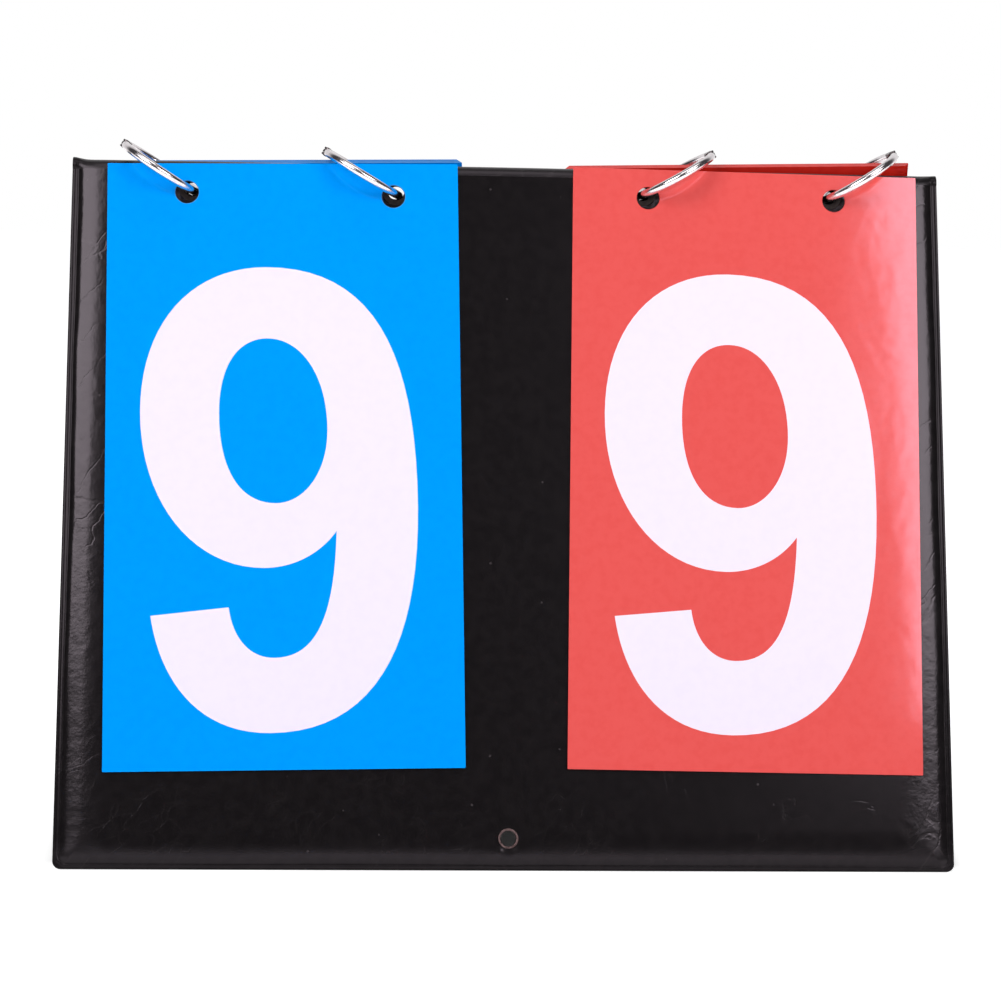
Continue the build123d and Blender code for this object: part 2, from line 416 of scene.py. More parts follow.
    def crease_lines(self, spot: Spot, share: Socket, size: float) -> Socket:
        """Thin slanting creases in the skin.

        Args:
            spot: where a point is.
            share: how marked they are at a point.
            size: how far apart they lie, in millimetres.

        Returns:
            A socket that falls to 0 in a crease and is 1 elsewhere.
        """
        tree, place = spot.tree, spot.place
        waves = {"Vector": place, "Scale": 1 / (2 * self.crumple_mm), "Detail": 3.0}
        wander = add_node(tree, "TexNoise", waves)["Color"]
        pushed = (wander, (self.wander_mm,) * 3, place)
        bent = add_node(tree, "VectorMath", pushed, operation="MULTIPLY_ADD")[0]
        slant = {"Vector": bent, "Rotation": (0.0, radians(self.crease_slant), 0.0)}
        slanted = add_node(tree, "Mapping", slant)[0]
        stretched = add_node(tree, "Mapping", {"Vector": slanted, "Scale": self.crease_stretch})[0]
        cells = {"Vector": stretched, "Scale": 1 / size}
        crease = add_node(tree, "TexVoronoi", cells, feature="DISTANCE_TO_EDGE")["Distance"]
        clouds = {"Vector": place, "Scale": 1 / (2 * size), "Detail": 1.0}
        patches = add_node(tree, "TexNoise", clouds)["Fac"]
        line = add_node(tree, "MapRange", (crease, 0.0, self.crease_width, 1.0, 0.0), **SMOOTH)[0]
        patchy = add_node(tree, "MapRange", (patches, 0.48, 0.62, 0.0, 1.0), **SMOOTH)[0]
        for factor in (patchy, share):
            line = add_node(tree, "Math", (line, factor), operation="MULTIPLY")[0]
        return add_node(tree, "Math", (1.0, line), operation="SUBTRACT")[0]


@dataclass(frozen=True)
class PlainLining(Finish):
    """Smooth unembossed PVC, duller than the cover, with a faint orange peel."""

    name: str = "plain_black_pvc"
    colour: str = "161415"
    mark: str = "1F1C1D"
    roughness: float = 0.5
    peel_mm: float = 1.6
    peel_depth: float = 0.05

    def sockets(self, tree: Tree) -> dict:
        """What the shader gets.

        Args:
            tree: the material's node tree.

        Returns:
            Values and sockets by the names of the inputs.
        """
        dimples = {"Vector": millimetres(tree), "Scale": 1 / self.peel_mm, "Detail": 2.0}
        peel = add_node(tree, "TexNoise", dimples)["Fac"]
        relief = {"Strength": 0.3, "Distance": self.peel_depth * MM, "Height": peel}
        shades = {0: peel, 6: linear(self.colour), 7: linear(self.mark)}
        return {
            "Base Color": add_node(tree, "Mix", shades, data_type="RGBA")[2],
            "Normal": add_node(tree, "Bump", relief)[0],
            "Roughness": self.roughness,
            "IOR": 1.53,
        }


@dataclass(frozen=True)
class PrintedSheet(Finish):
    """Calendered rigid PVC sheet, printed in one colour and lightly glossy.

    Its surface is almost flat, with a slow ripple that makes a lamp's edge waver.
    """

    name: str
    colour: str
    shade: str
    roughness: float = 0.07
    gloss: float = 0.5
    sheen: str = "FFF2FA"
    ripple_mm: float = 5.0
    ripple_depth: float = 0.04
    mottle_mm: float = 2.2

    def sockets(self, tree: Tree) -> dict:
        """What the shader gets.

        Args:
            tree: the material's node tree.

        Returns:
            Values and sockets by the names of the inputs.
        """
        place = millimetres(tree)
        waves = {"Vector": place, "Scale": 1 / self.ripple_mm, "Detail": 1.0}
        ripple = add_node(tree, "TexNoise", waves)["Fac"]
        clouds = {"Vector": place, "Scale": 1 / self.mottle_mm, "Detail": 3.0}
        mottle = add_node(tree, "TexNoise", clouds)["Fac"]
        shaded = add_node(tree, "MapRange", (mottle, 0.35, 0.75, 0.0, 1.0), **SMOOTH)[0]
        shades = {0: shaded, 6: linear(self.colour), 7: linear(self.shade)}
        relief = {"Strength": 0.3, "Distance": self.ripple_depth * MM, "Height": ripple}
        return {
            "Base Color": add_node(tree, "Mix", shades, data_type="RGBA")[2],
            "Normal": add_node(tree, "Bump", relief)[0],
            "Roughness": self.roughness,
            "IOR": 1.5,
            "Specular IOR Level": self.gloss,
            "Specular Tint": linear(self.sheen),
        }


@dataclass(frozen=True)
class PlatedMetal(Finish):
    """Steel wire or strip with a bright plating, and the fine scuffs of use."""

    name: str
    colour: str
    scuffed: str
    roughness: float
    edge: str = "FFFFFF"
    scuff_mm: float = 0.8
    scuff_roughness: float = 0.08

    def sockets(self, tree: Tree) -> dict:
        """What the shader gets.

        Args:
            tree: the material's node tree.

        Returns:
            Values and sockets by the names of the inputs.
        """
        scratches = {"Vector": millimetres(tree), "Scale": 1 / self.scuff_mm, "Detail": 4.0}
        scuff = add_node(tree, "TexNoise", scratches)["Fac"]
        worn = add_node(tree, "MapRange", (scuff, 0.45, 0.7, 0.0, 1.0), **SMOOTH)[0]
        shades = {0: worn, 6: linear(self.colour), 7: linear(self.scuffed)}
        rough = (self.roughness, self.roughness + self.scuff_roughness)
        return {
            "Base Color": add_node(tree, "Mix", shades, data_type="RGBA")[2],
            "Roughness": add_node(tree, "MapRange", (scuff, 0.4, 0.7, *rough), **SMOOTH)[0],
            "Metallic": 1.0,
            "Specular Tint": linear(self.edge),
        }


@dataclass(frozen=True)
class Greyboard(Finish):
    """Bookbinder's greyboard: pressed waste paper, matt, with darker fibres in it."""

    name: str = "greyboard"
    colour: str = "8F8A80"
    fibre: str = "7A756B"
    fibre_mm: float = 0.9
    fibre_depth: float = 0.1

    def sockets(self, tree: Tree) -> dict:
        """What the shader gets.

        Args:
            tree: the material's node tree.

        Returns:
            Values and sockets by the names of the inputs.
        """
        strands = millimetres(tree, (0.3, 1.0, 1.0))
        pulp = {"Vector": strands, "Scale": 1 / self.fibre_mm, "Detail": 5.0}
        fibres = add_node(tree, "TexNoise", pulp)["Fac"]
        relief = {"Strength": 0.4, "Distance": self.fibre_depth * MM, "Height": fibres}
        shades = {0: fibres, 6: linear(self.colour), 7: linear(self.fibre)}
        return {
            "Base Color": add_node(tree, "Mix", shades, data_type="RGBA")[2],
            "Normal": add_node(tree, "Bump", relief)[0],
            "Roughness": 0.9,
        }


@dataclass(frozen=True)
class WhiteTable(Finish):
    """Matt white table top. It looks pure white, except under the tent, where its glow is left out: a
    painted shadow over the tent's real shade.
    """

    name: str = "white_table"
    colour: str = "F4F4F4"
    glow: float = 0.72
    painted_shadow_width: Point = (95.0, 130.0)
    painted_shadow_depth: Point = (30.0, 66.0)

    def sockets(self, tree: Tree) -> dict:
        """What the shader gets. A glow that only the camera and mirrors see is added to it.

        Args:
            tree: the material's node tree.

        Returns:
            Values by the names of the inputs.
        """
        parts = add_node(tree, "SeparateXYZ", (millimetres(tree),))
        # The glow fades out in a patch under the tent: a painted shadow, laid over the real one.
        clear = []
        for socket, reach in ((parts["X"], self.painted_shadow_width), (parts["Y"], self.painted_shadow_depth)):
            away = add_node(tree, "Math", (socket,), operation="ABSOLUTE")[0]
            clear.append(add_node(tree, "MapRange", (away, *reach, 0.0, 1.0), **SMOOTH)[0])
        beyond_painted_shadow = add_node(tree, "Math", clear, operation="MAXIMUM")[0]
        strength = add_node(tree, "MapRange", (beyond_painted_shadow, 0.0, 1.0, 0.0, self.glow), **SMOOTH)[0]
        glow = add_node(tree, "Emission", {"Color": linear("FFFFFF"), "Strength": strength})[0]
        plain = tree.nodes["Principled BSDF"].outputs[0]
        both = add_node(tree, "AddShader", (plain, glow))[0]
        seen = seen_by(tree, "Is Camera Ray", "Is Glossy Ray", "Is Transmission Ray")
        surface = add_node(tree, "MixShader", (seen, plain, both))[0]
        connect(tree, tree.nodes["Material Output"], {"Surface": surface})
        return {"Base Color": linear(self.colour), "Roughness": 0.9, "Specular IOR Level": 0.0}


# ---- Mesh helpers ---------------------------------------------------------------------
@dataclass
class Shape:
    """The points and faces gathered for one piece, with a finish number for each face."""

    points: list[Vector] = field(default_factory=list)
    faces: list[tuple[int, ...]] = field(default_factory=list)
    finishes: list[int] = field(default_factory=list)

    def add(self, points: Sequence[Vector], faces: Iterable[Sequence[int]], finish: int = 0) -> None:
        """Adds a closed form.

        Args:
            points: its points, in metres.
            faces: its faces, as numbers of those points.
            finish: which of the piece's materials they wear.
        """
        first = len(self.points)
        self.points.extend(points)
        for face in faces:
            self.faces.append(tuple(first + corner for corner in face))
            self.finishes.append(finish)

    def build(self, name: str, materials: Sequence[Material], sharp: float = 40.0) -> Object:
        """Makes the piece.

        Args:
            name: the piece's name.
            materials: the materials that the finish numbers stand for.
            sharp: edges that turn by more than this many degrees stay sharp.

        Returns:
            The new object, linked to the scene.
        """
        mesh = bpy.data.meshes.new(name)
        mesh.from_pydata([tuple(point) for point in self.points], [], self.faces)
        for material in materials:
            mesh.materials.append(material)
        mesh.polygons.foreach_set("material_index", self.finishes)
        tidy = bmesh.new()
        tidy.from_mesh(mesh)
        bmesh.ops.recalc_face_normals(tidy, faces=tidy.faces)
        tidy.to_mesh(mesh)
        tidy.free()
        mesh.shade_smooth()
        mesh.set_sharp_from_angle(angle=radians(sharp))
        made = bpy.data.objects.new(name, mesh)
        bpy.context.scene.collection.objects.link(made)
        return made


def loft(rings: Sequence[Sequence[Vector]]) -> Form:
    """Joins rings of points into one closed form, capped at both ends.

    Args:
        rings: the rings in order, each with the same number of points.

    Returns:
        The points and the faces.
    """
    around = len(rings[0])
    points = [point for ring in rings for point in ring]
    faces: list[tuple[int, ...]] = [tuple(range(around))]
    for row in range(len(rings) - 1):
        for step in range(around):
            beside = (step + 1) % around
            here, there = row * around, (row + 1) * around
            faces.append((here + step, here + beside, there + beside, there + step))
    faces.append(tuple(range((len(rings) - 1) * around, len(rings) * around)))
    return points, faces


def turned(profile: Sequence[Point], place: Matrix, steps: int = 40) -> Form:
    """Turns a closed profile about the Z axis of a place.

    Args:
        profile: its points as radius and height, in metres, in order.
        place: where the axis stands.
        steps: how many facets go round.

    Returns:
        The points and the faces. A point on the axis is kept once.
    """
    points: list[Vector] = []
    rows: list[list[int]] = []
    for radius, height in profile:
        row = []
        for step in range(steps if radius > 1e-9 else 1):
            angle = tau * step / steps
            row.append(len(points))
            points.append(place @ Vector((radius * cos(angle), radius * sin(angle), height)))
        rows.append(row)
    faces = []
    for number, row in enumerate(rows):
        after = rows[(number + 1) % len(rows)]
        if len(row) == 1 and len(after) == 1:
            continue
        for step in range(steps):
            beside = (step + 1) % steps
            corners = [row[step % len(row)], row[beside % len(row)]]
            corners += [after[beside % len(after)], after[step % len(after)]]
            faces.append(tuple(dict.fromkeys(corners)))
    return points, faces


def graded(
    start: float, stop: float, coarse: float, spots: Sequence[tuple[float, float, float]]
) -> list[float]:
    """Grid lines that lie closer together near some places.

    Args:
        start: the first line.
        stop: the last line.
        coarse: the widest step.
        spots: places, each with its reach and its step there.

    Returns:
        The lines in order.
    """
    growth = 0.3
    lines = [start]
    while lines[-1] < stop:
        step = coarse
        for middle, reach, fine in spots:
            away = max(0.0, abs(lines[-1] - middle) - reach)
            step = min(step, fine + growth * away)
        lines.append(lines[-1] + step)
    stretch = (stop - start) / (lines[-1] - start)
    return [start + (line - start) * stretch for line in lines]


def basis(origin: Vector, across: Vector, up: Vector, out: Vector) -> Matrix:
    """A place with its own axes.

    Args:
        origin: where it is.
        across: its X axis.
        up: its Y axis.
        out: its Z axis.

    Returns:
        The matrix from that place to the row frame.
    """
    turn = Matrix((across, up, out)).transposed().to_4x4()
    turn.translation = origin
    return turn


# ---- The board ------------------------------------------------------------------------
@dataclass
class Board:
    """Where things are on the tent: sizes in millimetres, places in metres."""

    width: float = 225.0
    length: float = 178.4
    vinyl: float = 0.4
    inner_face: float = 0.4
    outer_face: float = 3.2
    seam: float = 1.8
    ring_eyelet_rise: float = 0.55
    ring_eyelet_shift: float = 0.35
    tie_eyelet_height: float = 7.9

    @property
    def tie_drop(self) -> float:
        """The tie eyelet's middle, down the slope from the fold axis, in millimetres."""
        return self.length - self.tie_eyelet_height

    @property
    def axis_height(self) -> float:
        """The fold axis above the table, in metres."""
        return JOINTS["fold"]["pos_m"][2]

    def place(self, side: Side, x: float, drop: float, height: float) -> Vector:
        """A point on a panel.

        Args:
            side: which panel.
            x: across the width, from the middle.
            drop: down the slope from the fold axis.
            height: outward from the fold axis.

        Returns:
            The point in metres.
        """
        out = drop * LEAN_SIN + height * LEAN_COS
        rise = height * LEAN_SIN - drop * LEAN_COS
        return Vector((x * MM, side.value * out * MM, self.axis_height + rise * MM))

    def axes(self, side: Side, x: float, drop: float) -> Matrix:
        """A place on a panel whose Z looks out of it, at the height of the fold axis.

        Args:
            side: which panel.
            x: across the width.
            drop: down the slope.

        Returns:
            The matrix of that place.
        """
        out = Vector((0, side.value * LEAN_COS, LEAN_SIN))
        up = Vector((0, -side.value * LEAN_SIN, LEAN_COS))
        return basis(self.place(side, x, drop, 0), up.cross(out), up, out)


BOARD = Board()


@dataclass
class CardSet:
    """One colour's rings and cards, with the same sizes as the solid model."""

    name: str
    hand: int
    ring_drop: float
    holes: tuple[Point, Point]
    card_inset: float
    card_drop: float
    skew: float
    stack_skew: float
    stack_rise: float
    stack_shift: float

    def ring(self, place: str) -> "RingPlace":
        """The place of the left or the right ring."""
        return RingPlace(f"{self.name}_{place}_ring")


@dataclass
class RingPlace:
    """Where a ring stands, read from its two joints."""

    name: str
    radius: float = 10.8

    @property
    def lean(self) -> Vector:
        """The way from the ring's middle to its hinge."""
        opening = JOINTS[f"{self.name}_open"]["axis"]
        return Vector((-opening[2], 0, opening[0])).normalized()

    @property
    def hinge(self) -> Vector:
        """The hinge pin's middle."""
        return Vector(JOINTS[f"{self.name}_open"]["pos_m"])

    @property
    def middle(self) -> Vector:
        """The ring's middle."""
        return self.hinge - self.lean * self.radius * MM

    @property
    def normal(self) -> Vector:
        """The way the hinge pin points."""
        return self.lean.cross(Vector((0, 1, 0)))

    @property
    def crossing_x(self) -> float:
        """Where the wire crosses the front card, in millimetres across the width."""
        return JOINTS[f"{self.name}_swing"]["pos_m"][0] / MM

    def back_crossing(self, height: float) -> Point:
        """Where the wire crosses the back panel's side at a height.

        Args:
            height: outward from the fold axis.

        Returns:
            The x and the drop down the slope, in millimetres.
        """
        across = LEAN_COS * self.radius
        upward = LEAN_SIN * self.radius * self.lean.z
        rise = (self.middle.z - BOARD.axis_height) / MM
        level = height - LEAN_SIN * rise
        angle = atan2(across, upward) + acos(level / hypot(across, upward))
        x = self.middle.x / MM + self.radius * cos(angle) * self.lean.x
        y = self.radius * sin(angle)
        z = rise + self.radius * cos(angle) * self.lean.z
        return x, y * LEAN_SIN - z * LEAN_COS


BLUE = CardSet(
    name="blue",
    hand=-1,
    ring_drop=5.3,
    holes=((-24.7, 7.6), (28.3, 8.7)),
    card_inset=55.4,
    card_drop=-2.1,
    skew=1.0,
    stack_skew=1.4,
    stack_rise=-0.6,
    stack_shift=0.7,
)
RED = CardSet(
    name="red",
    hand=1,
    ring_drop=4.2,
    holes=((-25.4, 7.7), (23.3, 6.9)),
    card_inset=51.8,
    card_drop=-2.2,
    skew=-0.7,
    stack_skew=1.7,
    stack_rise=0.45,
    stack_shift=-0.3,
)


# ---- Panels ---------------------------------------------------------------------------
@dataclass
class Weld:
    """The seam welded round the vinyl, and how the padded skin rises from it."""

    line: float = 0.9
    bead_rise: float = 0.22
    bead_width: float = 0.3
    end: float = 1.35
    shoulder: float = 0.7
    shoulder_reach: float = 1.0
    slope_start: float = 0.8
    slope_end: float = 8.0

    def bead(self, inset: float) -> float:
        """The height of the bead that the welder raises, at a distance from the edge."""
        return self.bead_rise * hump(inset - self.line, self.bead_width)

    def swell(self, inset: float) -> float:
        """How far the skin has risen: a steep shoulder, then a long slope.

        Args:
            inset: the distance from the edge in millimetres.

        Returns:
            0 on the seam and 1 over the stiffener.
        """
        inward = max(inset - self.end, 0.0)
        steep = 1 - exp(-((inward / self.shoulder_reach) ** 1.6))
        slope = smooth_step((inward - self.slope_start) / self.slope_end)
        return self.shoulder * steep + (1 - self.shoulder) * slope


WELD = Weld()


@dataclass
class PaddedPanel:
    """One leaf of the tent: a grained cover and a lining, welded round a greyboard."""

    side: Side
    corner: float = 2.0
    pillow_corner: float = 3.4
    grid: float = 4.0
    edge_reach: float = 2.4
    ring_hole: float = 2.9
    tie_hole: float = 2.15
    dimple_depth: float = 0.08
    dimple_radius: float = 2.6
    lip_rise: float = 0.2
    lips: Point = (-1.9, 0.9)
    knots: tuple[Point, Point] = ((-2.2, 0.12), (1.8, 0.08))
    knot_drop: float = 3.3

    def inset(self, x: float, drop: float) -> float:
        """How far a point lies in from the panel's edge, round the lower corners.

        Args:
            x: across the width.
            drop: down the slope.

        Returns:
            The distance in millimetres.
        """
        aside = BOARD.width / 2 - abs(x)
        below = BOARD.length - drop
        if aside > self.pillow_corner or below > self.pillow_corner:
            return min(aside, below)
        reach = hypot(self.pillow_corner - aside, self.pillow_corner - below)
        return max(self.pillow_corner - reach, 0.0)

    def swell(self, x: float, drop: float) -> float:
        """How far the skin has risen from its seam, which wanders a little by two waves.

        Args:
            x: across the width.
            drop: down the slope.

        Returns:
            0 on the seam and 1 over the stiffener.
        """
        wander = 0.12 * sin(drop / 11.0 + x / 17.0) + 0.07 * sin(drop / 4.3 - x / 9.0)
        return WELD.swell(self.inset(x, drop) - wander)

    def relief(self, x: float, drop: float) -> float:
        """The small forms on the grained cover.

        Args:
            x: across the width.
            drop: down the slope.

        Returns:
            A height in millimetres, added to the swell.
        """
        inset = self.inset(x, drop)
        below = drop - BOARD.tie_drop
        under = smooth_step((below - 1.5) / 2.5)
        pucker = -self.dimple_depth * hump(hypot(x, below) - self.dimple_radius, 1.6)
        pucker += self.lip_rise * under * sum(hump(x - middle, 1.1) for middle in self.lips)
        for middle, rise in self.knots:
            pucker += rise * hump(hypot(x - middle, below - self.knot_drop), 0.9)
        return WELD.bead(inset) + pucker * smooth_step((inset - 0.6) / 1.2)

    def skin_height(self, layer: Layer, x: float, drop: float) -> float:
        """The outside of a skin.

        Args:
            layer: the cover or the lining.
            x: across the width.
            drop: down the slope.

        Returns:
            The height from the fold axis in millimetres.
        """
        if layer is Layer.OUTER_COVER:
            flat = BOARD.seam + BOARD.vinyl
            rise = (BOARD.outer_face - flat) * self.swell(x, drop)
            return flat + rise + self.relief(x, drop)
        flat = BOARD.seam - BOARD.vinyl
        return flat + (BOARD.inner_face - flat) * self.swell(x, drop)

    def corner_place(self, x: float, drop: float) -> Point:
        """Draws a grid point in to the rounded lower corner.

        Args:
            x: across the width.
            drop: down the slope.

        Returns:
            The x and drop on the rounded outline's side.
        """
        aside = self.corner - (BOARD.width / 2 - abs(x))
        below = self.corner - (BOARD.length - drop)
        if aside <= 0 or below <= 0:
            return x, drop
        share = max(aside, below) / hypot(aside, below)
        hand = 1 if x > 0 else -1
        across = BOARD.width / 2 - self.corner + aside * share
        return hand * across, BOARD.length - self.corner + below * share

    def skin(self, layer: Layer, material: Material) -> Object:
        """Builds one skin as a closed sheet of vinyl with its eyelet holes.

        Args:
            layer: the cover or the lining.
            material: what it is made of.

        Returns:
            The piece.
        """
        half = BOARD.width / 2
        outer = layer is Layer.OUTER_COVER
        fine, middle, tie = (0.22, 0.4, 0.5) if outer else (0.6, 2.0, 2.0)
        edges = [(edge, self.edge_reach, fine) for edge in (-half, half)]
        across = graded(-half, half, self.grid, [*edges, (0, 2.0, middle)])
        spots = [(BOARD.length, self.edge_reach, fine), (BOARD.tie_drop, 3.0, tie)]
        down = graded(0.0, BOARD.length, self.grid, spots)
        shape = Shape()
        sheets = []
        for depth in (0.0, layer.value * BOARD.vinyl):
            sheet = []
            for drop in down:
                for x in across:
                    height = self.skin_height(layer, x, drop) - depth
                    sheet.append(BOARD.place(self.side, *self.corner_place(x, drop), height))
            sheets.append(sheet)
        columns, rows = len(across), len(down)
        faces = []
        under = columns * rows
        for row in range(rows - 1):
            for column in range(columns - 1):
                first = row * columns + column
                face = (first, first + 1, first + 1 + columns, first + columns)
                faces.append(face)
                faces.append(tuple(under + corner for corner in reversed(face)))
        rim = [*range(columns - 1)]
        rim += [row * columns + columns - 1 for row in range(rows - 1)]
        rim += [(rows - 1) * columns + column for column in range(columns - 1, 0, -1)]
        rim += [row * columns for row in range(rows - 1, 0, -1)]
        for number, corner in enumerate(rim):
            beside = rim[(number + 1) % len(rim)]
            faces.append((corner, under + corner, under + beside, beside))
        shape.add(sheets[0] + sheets[1], faces)
        name = f"{self.side.name}_{layer.name}".lower()
        made = shape.build(f"{name}_skin", [material])
        self.punch(made)
        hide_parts(name)
        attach(made, self.side.body)
        return made

    def punch(self, skin: Object) -> None:
        """Cuts the eyelet holes through a skin.

        Args:
            skin: the piece to cut.
        """
        cutter_shape = Shape()
        holes = [(place, self.ring_hole) for place in ring_eyelet_places()]
        for place, radius in [*holes, ((0.0, BOARD.tie_drop), self.tie_hole)]:
            reach = radius * MM
            profile = [(0.0, 0.0), (reach, 0.0), (reach, 5 * MM), (0.0, 5 * MM)]
            cutter_shape.add(*turned(profile, BOARD.axes(self.side, *place), 48))
        cutter = cutter_shape.build("eyelet_punch", [])
        cut = skin.modifiers.new("eyelet_holes", "BOOLEAN")
        cut.operation = "DIFFERENCE"
        cut.solver = "EXACT"
        cut.object = cutter
        graph = bpy.context.evaluated_depsgraph_get()
        mesh = bpy.data.meshes.new_from_object(skin.evaluated_get(graph))
        skin.modifiers.clear()
        skin.data = mesh
        bpy.data.objects.remove(cutter)

    def build(self, cover: Material, lining: Material) -> None:
        """Builds both skins.

        Args:
            cover: the grained vinyl.
            lining: the plain vinyl.
        """
        for layer, material in ((Layer.OUTER_COVER, cover), (Layer.INNER_LINING, lining)):
            made = self.skin(layer, material)
            LOG.info("%s: %d faces", made.name, len(made.data.polygons))


def ring_eyelet_places() -> list[Point]:
    """Where the ring eyelets go, the same on both panels.

    Returns:
        The x and drop of the four middles, in millimetres.
    """
    places = []
    for cards in (BLUE, RED):
        for side in ("left", "right"):
            x = cards.ring(side).crossing_x - cards.hand * BOARD.ring_eyelet_shift
            places.append((x, cards.ring_drop - BOARD.ring_eyelet_rise))
    return places


@dataclass
class FoldSkin:
    """The cover's bend over the top of the tent, with the pinched ends of its seam."""

    thickness: float = 0.8
    step: float = 4.0
    steps_round: int = 20
    crest_fill: float = 0.8
    left_horn: float = 0.75
    right_horn: float = 0.3
    sag: float = 0.1
    sag_wave: float = 23.0

    def radius(self, x: float, turn: float) -> float:
        """The outside of the bend.

        Args:
            x: across the width.
            turn: 0 at the front edge of the bend and 1 at the back one.

        Returns:
            The distance from the fold axis in millimetres.
        """
        aside = BOARD.width / 2 - abs(x)
        flat = BOARD.seam + BOARD.vinyl
        rise = WELD.swell(aside)
        crest = sin(pi * turn)
        bead = WELD.bead(aside) * (1 - crest)
        rise += (1 - rise) * self.crest_fill * crest
        horn = (self.left_horn if x < 0 else self.right_horn) * hump(aside - 0.3, 2.2) * crest
        sag = -self.sag * sin(x / self.sag_wave) ** 2 * crest
        return flat + (BOARD.outer_face - flat) * rise + bead + horn + sag

    def build(self, material: Material) -> Object:
        """Builds the bend.

        Args:
            material: the grained vinyl.

        Returns:
            The piece.
        """
        half = BOARD.width / 2
        across = graded(-half, half, self.step, [(-half, 2.6, 0.3), (half, 2.6, 0.3)])
        sweep = pi - 2 * LEAN
        rings = []
        for x in across:
            outside, inside = [], []
            for number in range(self.steps_round + 1):
                turn = number / self.steps_round
                angle = pi - LEAN - turn * sweep
                radius = self.radius(x, turn)
                for reach, line in ((radius, outside), (radius - self.thickness, inside)):
                    y = reach * cos(angle) * MM
                    z = BOARD.axis_height + reach * sin(angle) * MM
                    line.append(Vector((x * MM, y, z)))
            rings.append(outside + inside[::-1])
        shape = Shape()
        shape.add(*loft(rings))
        made = shape.build("fold_skin", [material], 60)
        reach = BOARD.outer_face * LEAN_COS * MM
        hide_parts("fold_strip")
        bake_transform(made)
        LOG.info("%s: %d faces", made.name, len(made.data.polygons))
        return made


# ---- Eyelets --------------------------------------------------------------------------
@dataclass
class Eyelet:
    """A pressed eyelet: a barrel through the board with a flange rolled over each face."""

    bore: float
    flange: float
    wall: float = 0.25
    stand: float = 0.05
    roll: float = 0.3

    def profile(self) -> list[Point]:
        """The section of one side of the barrel, closed.

        Returns:
            Points as radius and height from the fold axis, in metres.
        """
        top = BOARD.outer_face + self.stand
        low = BOARD.inner_face - self.stand
        inner = self.bore / 2
        rim = self.flange / 2
        soft = self.roll
        soft_rim, soft_face = soft * 0.5, soft * 0.8
        points = [(inner, low + soft)]
        points += self.rolled(inner, top, soft, -soft, [0.0, 0.2, 0.4, 0.6, 0.8, 1.0])
        points += self.rolled(rim, top, -soft_rim, -soft_face, [1.0, 0.8, 0.6, 0.4, 0.2, 0.0])
        points += [(rim - 0.05, top - soft), (inner + self.wall, top - soft)]
        points += [(inner + self.wall, low + soft), (rim - 0.05, low + soft)]
        points += self.rolled(rim, low, -soft_rim, soft_face, [0.0, 1 / 3, 2 / 3, 1.0])
        points += self.rolled(inner, low, soft, soft, [1.0, 2 / 3, 1 / 3, 0.0])
        return [(radius * MM, height * MM) for radius, height in points]

    def rolled(
        self, edge: float, face: float, inward: float, down: float, shares: Sequence[float]
    ) -> list[Point]:
        """A quarter turn of a rolled lip.

        Args:
            edge: the radius that it starts from.
            face: the height that it ends at.
            inward: how far it reaches along the face.
            down: how far it reaches along the edge.
            shares: which shares of the quarter turn get a point.

        Returns:
            Points as radius and height in millimetres.
        """
        turns = [pi / 2 * share for share in shares]
        return [(edge + inward * (1 - cos(turn)), face + down * (1 - sin(turn))) for turn in turns]

    def build(self, name: str, side: Side, places: Sequence[Point], material: Material) -> Object:
        """Builds the eyelets of one kind on one panel.

        Args:
            name: the solid node that they stand for.
            side: which panel.
            places: their x and drop.
            material: the plating.

        Returns:
            The piece.
        """
        shape = Shape()
        for place in places:
            shape.add(*turned(self.profile(), BOARD.axes(side, *place), 48))
        made = shape.build(f"{name}_rim", [material], 50)
        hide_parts(name)
        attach(made, side.body)
        LOG.info("%s: %d", made.name, len(places))
        return made


